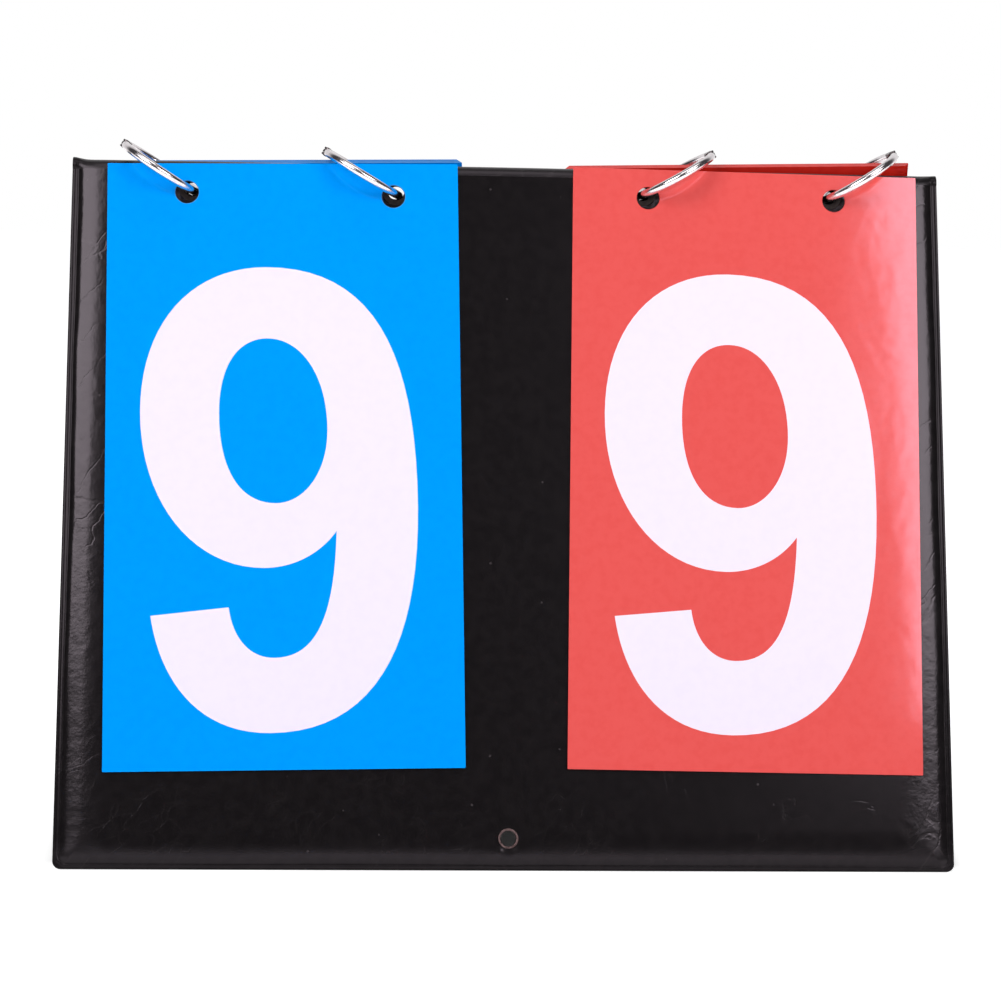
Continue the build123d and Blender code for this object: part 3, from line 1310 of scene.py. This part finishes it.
# ---- Rings ----------------------------------------------------------------------------
@dataclass
class HingedRing:
    """A loose-leaf ring of round wire in two halves, with a riveted knuckle at its crest."""

    place: RingPlace
    wire: float = 1.05
    eye: float = 1.12
    tongue: float = 0.4
    fork_inner: float = 0.5
    neck: float = 2.9
    body_end: float = 1.75
    latch_gap: float = 0.05
    stud: float = 0.5
    stud_length: float = 1.2
    stud_taper: float = 0.2
    stud_point: float = 0.3
    socket_play: float = 0.08
    latch_soft: float = 0.12
    fork_soft: float = 0.3
    tongue_slim: float = 0.74
    prong_slim: float = 0.72
    prong_swell: float = 0.2
    prong_steps: int = 8
    around: int = 40
    along: int = 72

    def section(
        self, angle: float, radial: float, sideways: float, offset: float = 0.0
    ) -> list[Vector]:
        """One oval section of the wire.

        Args:
            angle: how far round from the hinge, positive to the back, in radians.
            radial: half of its width away from the ring's middle.
            sideways: half of its width along the pin.
            offset: how far its middle is moved along the pin.

        Returns:
            The points of the section.
        """
        outward = self.place.lean * cos(angle) + Vector((0, 1, 0)) * sin(angle)
        middle = self.place.middle + outward * self.place.radius * MM
        middle = middle + self.place.normal * offset * MM
        points = []
        for step in range(self.around):
            turn = tau * step / self.around
            across = outward * radial * cos(turn) + self.place.normal * sideways * sin(turn)
            points.append(middle + across * MM)
        return points

    def turn_at(self, length: float) -> float:
        """The angle of a length along the wire's middle, in radians."""
        return length / self.place.radius

    def rounded_end(self, angle: float, way: int, soft: float) -> list[list[Vector]]:
        """The last sections of a wire whose rim is rounded.

        Args:
            angle: where the end face is.
            way: 1 where the wire comes from smaller angles, otherwise -1.
            soft: the rim's rounding in millimetres.

        Returns:
            The sections, in order towards the end.
        """
        rings = []
        for number in range(4):
            turn = pi / 2 * number / 3
            back = self.turn_at(soft * (1 - sin(turn)))
            half = self.wire - soft * (1 - cos(turn))
            rings.append(self.section(angle - way * back, half, half))
        return rings

    def front_half(self) -> Shape:
        """The front half: a flat tongue at the hinge and a peg at the latch.

        Returns:
            Its shape.
        """
        shape = Shape()
        end = pi - self.turn_at(self.latch_gap)
        neck = self.turn_at(self.neck)
        rings = []
        for number in range(self.along + 1):
            # The sections crowd together near the hinge, where the wire flattens.
            angle = (end - self.turn_at(self.latch_soft + 0.03)) * (number / self.along) ** 1.3
            share = smooth_step((angle - neck * 0.35) / (neck * 0.75))
            sideways = self.tongue + (self.wire - self.tongue) * share
            radial = self.wire * (self.tongue_slim + (1 - self.tongue_slim) * share)
            rings.append(self.section(-angle, radial, sideways))
        rings += self.rounded_end(-end, -1, self.latch_soft)
        shape.add(*loft(rings))
        peg = []
        for reach, half in (
            (0.0, self.stud),
            (self.stud_length - self.stud_taper, self.stud),
            (self.stud_length, self.stud_point),
        ):
            peg.append(self.section(-end - self.turn_at(reach), half, half))
        shape.add(*loft(peg))
        shape.add(*self.knuckle_disc(-self.tongue, self.tongue, self.latch_soft))
        return shape

    def knuckle_disc(self, low: float, high: float, soft: float) -> Form:
        """A round eye about the hinge pin.

        Args:
            low: where it starts along the pin.
            high: where it ends along the pin.
            soft: the rounding of its rim.

        Returns:
            The points and the faces.
        """
        bevel = soft * 0.3
        rim = [(0.0, 0.0), (self.eye - soft, 0.0), (self.eye - bevel, bevel), (self.eye, soft)]
        profile = [(radius * MM, (low + height) * MM) for radius, height in rim]
        profile += [(radius * MM, (high - height) * MM) for radius, height in reversed(rim)]
        return turned(profile, self.pin_axes(), 36)

    def pin_axes(self) -> Matrix:
        """The hinge pin's place, with Z along the pin."""
        lean, normal = self.place.lean, self.place.normal
        return basis(self.place.hinge, lean, normal.cross(lean), normal)

    def back_half(self) -> Shape:
        """The back half: a fork at the hinge and a socket at the latch.

        Returns:
            Its shape.
        """
        shape = Shape()
        end = pi - self.turn_at(self.latch_gap)
        start = self.turn_at(self.body_end)
        rings = list(reversed(self.rounded_end(start, -1, self.fork_soft)))
        first = start + self.turn_at(self.fork_soft)
        span = end - start - self.turn_at(self.fork_soft + 0.2)
        for number in range(1, self.along):
            rings.append(self.section(first + span * number / self.along, self.wire, self.wire))
        rings += self.rounded_end(end, 1, self.latch_soft)
        socket = self.stud + self.socket_play
        for depth in (0.0, self.stud_length + 0.1):
            rings.append(self.section(end - self.turn_at(depth), socket, socket))
        shape.add(*loft(rings))
        middle = (self.fork_inner + self.wire) / 2
        half = (self.wire - self.fork_inner) / 2
        for way in (-1, 1):
            prong = []
            for number in range(self.prong_steps + 1):
                angle = self.turn_at(self.neck) * number / self.prong_steps
                slim = self.wire * (self.prong_slim + self.prong_swell * smooth_step(number / 6))
                prong.append(self.section(angle, slim, half, way * middle))
            shape.add(*loft(prong))
            low, high = sorted((way * self.fork_inner, way * self.wire))
            shape.add(*self.knuckle_disc(low, high, 0.14))
        return shape

    def rivet(self) -> Shape:
        """The hinge pin, spread into a low dome at both ends.

        Returns:
            Its shape.
        """
        shaft, head, stand = 0.44, 0.68, 0.16
        dome = [(0.0, self.wire + stand), (head * 0.55, self.wire + stand * 0.85), (head, self.wire)]
        upper = [*dome, (shaft, self.wire)]
        profile = [(radius * MM, -height * MM) for radius, height in upper]
        profile += [(radius * MM, height * MM) for radius, height in reversed(upper)]
        shape = Shape()
        shape.add(*turned(profile, self.pin_axes(), 28))
        return shape

    def build(self, wire: Material, pressed: Material, pin: Material) -> None:
        """Builds the ring's three pieces.

        Args:
            wire: the ring's plating.
            pressed: a darker copy of the plating for the knuckle, whose colour is painted shade.
            pin: the rivet's finish, its dark steel partly its own colour and partly painted shade.
        """
        name = self.place.name
        for part, shape, body, slot, finishes in (
            ("front_half", self.front_half(), f"{name}_gate", "ring_chrome", [wire, pressed]),
            ("back_half", self.back_half(), name, "ring_chrome", [wire, pressed]),
            ("hinge_pin", self.rivet(), name, "pin_steel", [pin]),
        ):
            made = shape.build(f"{name}_{part}_wire", finishes, 50)
            # Faces near the hinge take the darker plating: painted shade at the knuckle.
            for face in made.data.polygons:
                if len(finishes) > 1 and (face.center - self.place.hinge).length < self.neck * MM:
                    face.material_index = 1
            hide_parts(f"{name}_{part}")
            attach(made, body)
            LOG.info("%s: %d faces", made.name, len(made.data.polygons))


# ---- Numerals -------------------------------------------------------------------------
# Each outline starts at a point. A stretch of two numbers is a straight line to that
# point, and one of six is a curve: two handles, then its end. Millimetres from the
# card's middle.
NUMERALS: dict[int, list[list[tuple[float, ...]]]] = {
    0: [
        [(-1, 50.6), (-27, 50.6, -36, 22, -36, -9.2), (-36, -40.4, -27, -69, -1, -69),
         (25, -69, 34.4, -40.4, 34.4, -9.2), (34.4, 22, 25, 50.6, -1, 50.6)],
        [(-1, 32), (-12.5, 32, -15.6, 12, -15.6, -9.2), (-15.6, -30.4, -12.5, -50.4, -1, -50.4),
         (10.5, -50.4, 14, -30.4, 14, -9.2), (14, 12, 10.5, 32, -1, 32)],
    ],
    1: [[(17, 50.6), (1, 50.6), (-1, 38, -10, 28, -27, 27), (-27, 12.5), (-5, 12.5), (-5, -67),
         (17, -67)]],
    2: [[(-34, 13), (-14, 13), (-14, 24, -10.5, 32.5, -0.5, 32.5), (8, 32.5, 13, 27, 13, 18),
         (13, 8, 4, 1, -7, -7.5), (-24, -20.5, -34.5, -36, -35.5, -67), (34, -67), (34, -48),
         (-8, -48), (-6, -40, 2, -34, 12, -27.5), (26, -18, 33.5, -7, 33.5, 13),
         (33.5, 37, 19, 50.6, 0, 50.6), (-22, 50.6, -34, 36, -34, 13)]],
    3: [[(-34, 15), (-14.5, 15), (-14.5, 26, -9.5, 32.5, -1, 32.5), (7.5, 32.5, 12.5, 27.5, 12.5, 20),
         (12.5, 9, 5, 4, -7.5, 4), (-7.5, -12), (6.5, -12, 14, -17.5, 14, -31),
         (14, -42.5, 8, -50.5, -1.5, -50.5), (-11, -50.5, -16, -43, -16, -31), (-36, -31),
         (-36, -54, -23, -69, -1, -69), (20, -69, 34.4, -55, 34.4, -31), (34.4, -17, 29, -7, 18, -3.5),
         (27, 1, 31.5, 9, 31.5, 21), (31.5, 39, 18, 50.6, -1, 50.6), (-22, 50.6, -34, 37, -34, 15)]],
    4: [
        [(28, 50.6), (6, 50.6), (-36, -23), (-36, -43), (8, -43), (8, -67), (28, -67), (28, -43),
         (35, -43), (35, -25), (28, -25)],
        [(8, 22), (8, -25), (-18, -25)],
    ],
    5: [[(29, 48.5), (-26, 48.5), (-34, -19), (-15.5, -20), (-13, -14, -8, -11.5, -1.5, -11.5),
         (8, -11.5, 14, -19, 14, -31.5), (14, -43.5, 8, -50.5, -1, -50.5),
         (-9.5, -50.5, -14.5, -45, -15.5, -36.5), (-36, -36.5),
         (-35, -56, -21.5, -69, -1, -69), (20, -69, 34.4, -54, 34.4, -31.5),
         (34.4, -8, 22, 6, 3, 6), (-4, 6, -10, 4, -14.5, -0.5), (-10.5, 30), (29, 30)]],
    7: [[(-36, 48.5), (34.4, 48.5), (34.4, 32), (12, 3, 2, -28, 0, -67), (-21.5, -67),
         (-19, -31, -9, 0, 12, 29.5), (-36, 29.5)]],
    8: [
        [(-1, 50.6), (-20, 50.6, -33, 38, -33, 21), (-33, 10, -28, 1.5, -19, -3.5),
         (-30, -8.5, -36, -18.5, -36, -32), (-36, -54, -22, -69, -1, -69), (20, -69, 34.4, -54, 34.4, -32),
         (34.4, -18.5, 28.5, -8.5, 17.5, -3.5), (26.5, 1.5, 31.5, 10, 31.5, 21),
         (31.5, 38, 18, 50.6, -1, 50.6)],
        [(-1, 33.5), (-9, 33.5, -13.5, 28, -13.5, 20), (-13.5, 11.5, -9, 5.5, -1, 5.5),
         (7.5, 5.5, 12, 11.5, 12, 20), (12, 28, 7.5, 33.5, -1, 33.5)],
        [(-1, -11), (-10, -11, -15.5, -19, -15.5, -31.5), (-15.5, -43.5, -10, -51.5, -1, -51.5),
         (8.5, -51.5, 14, -43.5, 14, -31.5), (14, -19, 8.5, -11, -1, -11)],
    ],
    9: [
        [(-4.5, 50.5), (22.5, 50.5, 33.8, 29, 33.8, -12), (33.8, -49, 21.5, -68.8, -3.5, -68.8),
         (-22.5, -68.8, -31.2, -54.1, -33.4, -39.2), (-13.9, -37.2), (-13, -44.5, -9, -50, -2.5, -50),
         (8.5, -50, 12.6, -38.5, 13.2, -18), (9.2, -23.6, 2.6, -27.3, -5, -27.3),
         (-23, -27.3, -36.3, -10, -36.3, 13), (-36.3, 36, -23.5, 50.5, -4.5, 50.5)],
        [(-16.4, 12.5), (-16.4, 25, -11.5, 31.8, -4.2, 31.8), (4.5, 31.8, 11, 22, 11, 8),
         (11, -3, 5, -10.8, -2, -10.8), (-11.5, -10.8, -16.4, -1.5, -16.4, 12.5)],
    ],
}
NUMERAL_MIDDLE = (-1.2, -9.2)
CURVE_STEPS = 20


def numeral(number: int) -> list[list[Point]]:
    """The outlines of a numeral. A six is a nine that is turned over.

    Args:
        number: 0 to 9.

    Returns:
        Closed outlines in millimetres from the card's middle.
    """
    if number == 6:
        twice_x, twice_y = 2 * NUMERAL_MIDDLE[0], 2 * NUMERAL_MIDDLE[1]
        return [[(twice_x - x, twice_y - y) for x, y in outline] for outline in numeral(9)]
    outlines = []
    for start, *stretches in NUMERALS[number]:
        outline = [start]
        for stretch in stretches:
            if len(stretch) == 2:
                outline.append(stretch)
                continue
            first, second, last = stretch[0:2], stretch[2:4], stretch[4:6]
            begin = outline[-1]
            for step in range(1, CURVE_STEPS + 1):
                t = step / CURVE_STEPS
                weights = ((1 - t) ** 3, 3 * t * (1 - t) ** 2, 3 * t * t * (1 - t), t ** 3)
                corners = (begin, first, second, last)
                outline.append(tuple(
                    sum(w * corner[axis] for w, corner in zip(weights, corners)) for axis in (0, 1)
                ))
        if hypot(outline[0][0] - outline[-1][0], outline[0][1] - outline[-1][1]) < 0.01:
            outline.pop()
        outlines.append(outline)
    return outlines


def encloses(outline: Sequence[Point], x: float, y: float) -> bool:
    """Whether a closed outline has a point inside it.

    Args:
        outline: its corners in order.
        x: the point's x.
        y: the point's y.

    Returns:
        True if the point is inside.
    """
    inside = False
    for number, (x1, y1) in enumerate(outline):
        x0, y0 = outline[number - 1]
        if (y0 > y) != (y1 > y) and x < x0 + (y - y0) * (x1 - x0) / (y1 - y0):
            inside = not inside
    return inside


# ---- Cards ----------------------------------------------------------------------------
@dataclass
class ScoreCard:
    """One printed sheet, with a numeral on each face and two punched holes."""

    cards: CardSet
    number: int
    width: float = 90.0
    height: float = 156.0
    thickness: float = 0.25
    gap: float = 0.02
    corner: float = 0.2
    hole: float = 3.0
    hole_steps: int = 48
    burr: float = 0.16
    seat: float = 3.3
    last: int = 9
    mesh_step: float = 9.0
    curl: float = 0.45
    ripple: float = 0.05

    @property
    def side(self) -> Side:
        """The panel that the card lies on."""
        return Side.FRONT if self.number == self.last else Side.BACK

    @property
    def hole_places(self) -> list[Point]:
        """The holes' middles from the card's middle, as its numeral is read."""
        return [(x, self.height / 2 - drop) for x, drop in self.cards.holes]

    @property
    def base(self) -> float:
        """The card's inner face.

        Returns:
            Its height outward from the fold axis, in millimetres.
        """
        if self.side is Side.FRONT:
            return self.seat
        return self.seat + self.number * (self.thickness + self.gap)

    def hang(self) -> tuple[float, float, float]:
        """Where the card hangs.

        Returns:
            The x and drop of its middle in millimetres, and its skew in radians.
        """
        if self.side is Side.FRONT:
            x = self.cards.hand * (BOARD.width / 2 - self.cards.card_inset)
            return x, self.cards.card_drop + self.height / 2, radians(self.cards.skew)
        level = self.base + self.thickness / 2
        left = self.cards.ring("left").back_crossing(level)
        right = self.cards.ring("right").back_crossing(level)
        (left_x, left_y), (right_x, right_y) = self.hole_places
        middle_x, middle_y = (left_x + right_x) / 2, (left_y + right_y) / 2
        skew = radians(self.cards.stack_skew)
        x = (left[0] + right[0]) / 2 + self.cards.stack_shift
        drop = (left[1] + right[1]) / 2 - self.cards.stack_rise
        x += middle_y * sin(skew) - middle_x * cos(skew)
        drop += middle_x * sin(skew) + middle_y * cos(skew)
        return x, drop, skew

    def bow(self, u: float, v: float) -> float:
        """How far the sheet stands off its seat: it curls away from the board lower down.

        Args:
            u: across the card as it is read from the front.
            v: up the card.

        Returns:
            The height in millimetres.
        """
        down = 0.5 - v / self.height
        ripple = self.ripple * (1 + sin(u / 19.0 + v / 31.0)) * smooth_step(down * 3)
        return self.curl * max(down, 0.0) ** 2.5 + ripple

    def outlines(self) -> list[list[Point]]:
        """The card's edge and its two holes.

        Returns:
            Three closed outlines in millimetres from the card's middle.
        """
        edge = []
        for quarter, (hand, top) in enumerate(((1, 1), (-1, 1), (-1, -1), (1, -1))):
            middle_x = hand * (self.width / 2 - self.corner)
            middle_y = top * (self.height / 2 - self.corner)
            for step in range(4):
                angle = pi / 2 * (quarter + step / 3)
                edge.append((middle_x + self.corner * cos(angle), middle_y + self.corner * sin(angle)))
        holes = []
        for x, y in self.hole_places:
            turns = [tau * step / self.hole_steps for step in range(self.hole_steps)]
            holes.append([(x + self.hole * cos(turn), y + self.hole * sin(turn)) for turn in turns])
        return [edge, *holes]

    def face_mesh(
        self, ink: Sequence[Sequence[Point]]
    ) -> tuple[list[Point], list[tuple[int, ...]], list[int]]:
        """Triangles over the card that follow its numeral.

        Args:
            ink: the outlines of the numeral, as they lie on this face.

        Returns:
            The points, the triangles, and the finish number of each triangle.
        """
        edge, *holes = self.outlines()
        grow = 1 + self.burr / self.hole
        burrs = []
        for (x, y), hole in zip(self.hole_places, holes):
            burrs.append([(x + (px - x) * grow, y + (py - y) * grow) for px, py in hole])
        points: list[Vector] = []
        lines: list[tuple[int, int]] = []
        for outline in [edge, *holes, *burrs, *ink]:
            first = len(points)
            points.extend(Vector(point) for point in outline)
            count = len(outline)
            lines.extend((first + i, first + (i + 1) % count) for i in range(count))
        columns = round(self.width / self.mesh_step)
        rows = round(self.height / self.mesh_step)
        for column in range(1, columns):
            for row in range(1, rows):
                x = (column / columns - 0.5) * self.width
                y = (row / rows - 0.5) * self.height
                points.append(Vector((x, y)))
        found = delaunay_2d_cdt(points, lines, [], 0, 1e-5)
        corners = [(point.x, point.y) for point in found[0]]
        kept, finishes = [], []
        for face in found[2]:
            x = sum(corners[i][0] for i in face) / len(face)
            y = sum(corners[i][1] for i in face) / len(face)
            if not encloses(edge, x, y) or any(encloses(hole, x, y) for hole in holes):
                continue
            kept.append(tuple(face))
            inked = sum(encloses(outline, x, y) for outline in ink) % 2
            finishes.append(2 if any(encloses(burr, x, y) for burr in burrs) else inked)
        return corners, kept, finishes

    def point(self, x: float, y: float, height: float) -> Vector:
        """A point of the card.

        Args:
            x: across the card as seen from the front of the tent.
            y: up the card.
            height: outward from its seat.

        Returns:
            The point in metres.
        """
        middle_x, middle_drop, skew = self.hang()
        across = middle_x + x * cos(skew) - y * sin(skew)
        drop = middle_drop - x * sin(skew) - y * cos(skew)
        return BOARD.place(self.side, across, drop, self.base + height)

    def build(self, materials: Sequence[Material]) -> Object:
        """Builds the card.

        Args:
            materials: the printed sheet, the ink and the bare core.

        Returns:
            The piece.
        """
        numerals = {
            Side.FRONT: numeral(self.number),
            Side.BACK: numeral(self.number + 1) if self.number < self.last else [],
        }
        shape = Shape()
        for looks, outlines in numerals.items():
            # Seen from the front of the tent, a numeral on the other face is mirrored.
            ink = [[(-looks.value * x, y) for x, y in outline] for outline in outlines]
            outward = looks is self.side
            level = self.thickness if outward else 0.0
            corners, faces, finishes = self.face_mesh(ink)
            spots = [self.point(x, y, level + self.bow(x, y)) for x, y in corners]
            for wanted in (0, 1, 2):
                chosen = [face for face, finish in zip(faces, finishes) if finish == wanted]
                shape.add(spots, chosen, wanted)
        for outline in self.outlines():
            count = len(outline)
            rims = []
            for level in (0.0, self.thickness):
                rims.append([self.point(x, y, level + self.bow(x, y)) for x, y in outline])
            walls = [(i, (i + 1) % count, count + (i + 1) % count, count + i) for i in range(count)]
            shape.add(rims[0] + rims[1], walls, 2)
        name = f"{self.cards.name}_card_{self.number}"
        made = shape.build(f"{name}_sheet", materials)
        self.weld(made)
        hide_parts(name)
        own = "front_card" if self.side is Side.FRONT else f"flipped_card_{self.number}"
        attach(made, f"{self.cards.name}_{own}")
        LOG.info("%s: %d faces", made.name, len(made.data.polygons))
        return made

    def weld(self, sheet: Object) -> None:
        """Joins the faces, the walls and the ink where they meet, into one closed sheet.

        Args:
            sheet: the piece to weld.
        """
        work = bmesh.new()
        work.from_mesh(sheet.data)
        bmesh.ops.delete(work, geom=[v for v in work.verts if not v.link_faces], context="VERTS")
        bmesh.ops.remove_doubles(work, verts=work.verts, dist=0.002 * MM)
        bmesh.ops.recalc_face_normals(work, faces=work.faces)
        work.to_mesh(sheet.data)
        work.free()
        sheet.data.set_sharp_from_angle(angle=radians(40.0))


# Each set's printed face; a darker copy of it for the stacked cards, which is painted
# shade; and the cut edges. Each has its colour and its faint mottle.
SHEET_LOOKS = {
    "blue": {
        "top": ("0099FF", "0096FC"),
        "stack": ("0A86EE", "0A82E8"),
        "cut": ("3C8AD0", "3580C6"),
        "gloss": 0.06,
        "sheen": "FFFFFF",
    },
    "red": {
        "top": ("EA5B58", "E75653"),
        "stack": ("D4261A", "CE2217"),
        "cut": ("DE4A45", "D43E3A"),
        "gloss": 0.75,
        "sheen": "FFDDF6",
    },
}


# ---- The studio -----------------------------------------------------------------------
@dataclass
class Studio:
    """A white table in a dim room, with soft boxes, and the camera."""

    eye: tuple[float, float, float] = (-0.0436, -0.6814, 0.1884)
    yaw: float = 3.64
    pitch: float = -8.64
    roll: float = 1.25
    lens: float = 93.5
    aim: tuple[float, float, float] = (0.0, 0.0, 0.09)
    distance: float = 2.2
    floor_reach: float = 3.0
    room_level: float = 0.9
    room_colour: str = "464446"

    def camera(self) -> None:
        """Places the camera."""
        data = bpy.data.cameras.new("camera")
        data.lens = self.lens
        data.sensor_width = 36.0
        data.clip_start = 0.01
        made = bpy.data.objects.new("camera", data)
        bpy.context.scene.collection.objects.link(made)
        yaw, pitch, roll = radians(self.yaw), radians(self.pitch), radians(self.roll)
        forward = Vector((sin(yaw) * cos(pitch), cos(yaw) * cos(pitch), sin(pitch)))
        level = Vector((cos(yaw), -sin(yaw), 0))
        upright = level.cross(forward)
        across = level * cos(roll) + upright * sin(roll)
        up = upright * cos(roll) - level * sin(roll)
        made.matrix_world = basis(Vector(self.eye), across, up, -forward)
        bpy.context.scene.camera = made

    def soft_box(
        self,
        name: str,
        azimuth: float,
        elevation: float,
        size: Point,
        radiance: float,
        roll: float = 0.0,
    ) -> None:
        """Hangs a rectangular soft box that faces the board.

        Args:
            name: what it is called.
            azimuth: degrees to the right of the camera's side.
            elevation: degrees up.
            size: its width and height in metres.
            radiance: how bright its face is, where 1 is white.
            roll: how far it is turned about its own axis, in degrees.
        """
        data = bpy.data.lights.new(name, "AREA")
        data.shape = "RECTANGLE"
        data.size, data.size_y = size
        data.energy = radiance * pi * size[0] * size[1]
        made = bpy.data.objects.new(name, data)
        bpy.context.scene.collection.objects.link(made)
        turn, rise = radians(azimuth), radians(elevation)
        away = Vector((sin(turn) * cos(rise), -cos(turn) * cos(rise), sin(rise)))
        made.location = Vector(self.aim) + away * self.distance
        facing = away.to_track_quat("Z", "Y").to_matrix()
        made.rotation_euler = (facing @ Matrix.Rotation(radians(roll), 3, "Z")).to_euler()

    def world(self) -> None:
        """Makes the room: white behind the object, dim on the camera's side."""
        world = bpy.data.worlds.new("room")
        bpy.context.scene.world = world
        world.use_nodes = True
        tree = world.node_tree
        tree.nodes.clear()
        where = add_node(tree, "TexCoord")["Generated"]
        depth = add_node(tree, "SeparateXYZ", (where,))["Y"]
        behind = add_node(tree, "MapRange", (depth, 0.15, 0.6, 0.0, 1.0), **SMOOTH)[0]
        shades = {0: behind, 6: linear(self.room_colour), 7: linear("FFFFFF")}
        room = add_node(tree, "Mix", shades, data_type="RGBA")[2]
        studio = add_node(tree, "Background", {"Color": room, "Strength": self.room_level})[0]
        white = add_node(tree, "Background", {"Color": linear("FFFFFF"), "Strength": 1.0})[0]
        shown = seen_by(tree, "Is Camera Ray", "Is Transmission Ray")
        mixed = add_node(tree, "MixShader", (shown, studio, white))[0]
        add_node(tree, "OutputWorld", {"Surface": mixed})

    def floor(self) -> None:
        """Lays the white table."""
        reach = self.floor_reach
        corners = [Vector((x * reach, y * reach, 0.0)) for x, y in ((-1, -1), (1, -1), (1, 1), (-1, 1))]
        shape = Shape()
        shape.add(corners, [(0, 1, 2, 3)])
        made = shape.build("table_top", [WhiteTable().material()])

    def build(self) -> None:
        """Sets the whole studio up."""
        self.camera()
        self.world()
        self.floor()
        self.soft_box("right_box", 34.4, 27.8, (1.25, 0.74), 6.2, -12.0)
        self.soft_box("left_box", -38.5, 33.0, (1.35, 1.05), 5.6, 10.0)
        self.soft_box("top_box", 5.0, 72.0, (1.6, 1.2), 1.8)
        scene = bpy.context.scene
        scene.view_settings.view_transform = "Standard"


def dress_stiffeners() -> None:
    """Gives the sealed boards their material."""
    material = Greyboard().material()
    for side in Side:
        board = frame["nodes"][f"{side.name.lower()}_stiffener"]
        board.data.materials.clear()
        board.data.materials.append(material)
        LOG.info("%s: greyboard", board.name)


def main() -> None:
    """Builds the scoreboard around the frame, then the studio."""
    logging.basicConfig(level=logging.INFO, format="%(message)s")
    studio = Studio()
    studio.build()
    cover = Leathercloth().material()
    lining = PlainLining().material()
    nickel = PlatedMetal("black_nickel_plate", "2C2726", "221D1D", 0.42, "5A524F").material()
    tie_nickel = PlatedMetal("rubbed_black_nickel", "6E5A5A", "4E3F3F", 0.4).material()
    chrome = PlatedMetal("bright_chrome_plate", "E2DCDE", "D2CBCE", 0.15).material()
    # A darker chrome whose colour is painted shade at the knuckle, and the rivet's dark steel, partly its
    # own colour and partly that painted shade.
    pressed = PlatedMetal("knuckle_painted_shade_chrome", "6E6466", "4C4446", 0.22).material()
    steel = PlatedMetal("riveted_steel_and_shade", "5C5456", "443D3F", 0.28).material()
    ink = PrintedSheet("white_ink", "F1E8FA", "EFE6F8", roughness=0.3, gloss=0.2).material()
    for side in Side:
        PaddedPanel(side).build(cover, lining)
        name = side.name.lower()
        bore = 4.2 if side is Side.FRONT else 4.6
        Eyelet(bore, 7.2).build(f"{name}_ring_eyelets", side, ring_eyelet_places(), nickel)
        Eyelet(3.9, 5.1).build(f"{name}_tie_eyelet", side, [(0.0, BOARD.tie_drop)], tie_nickel)
    FoldSkin().build(Leathercloth("bent_black_pvc", roughness=0.3, calm_width=0.0).material())
    dress_stiffeners()
    for cards in (BLUE, RED):
        for place in ("left", "right"):
            HingedRing(cards.ring(place)).build(chrome, pressed, steel)
        looks = SHEET_LOOKS[cards.name]
        shine = {"gloss": looks["gloss"], "sheen": looks["sheen"]}
        top = PrintedSheet(f"{cards.name}_pvc_sheet", *looks["top"], **shine).material()
        # The stacked cards wear the darker copy of the printed sheet: painted shade.
        under = PrintedSheet(f"{cards.name}_pvc_stack", *looks["stack"], **shine).material()
        core = PrintedSheet(f"{cards.name}_pvc_cut", *looks["cut"], roughness=0.5, gloss=0.2).material()
        for number in range(10):
            sheet = top if number == ScoreCard.last else under
            ScoreCard(cards, number).build([sheet, ink, core])


if __name__ == "__main__":
    main()
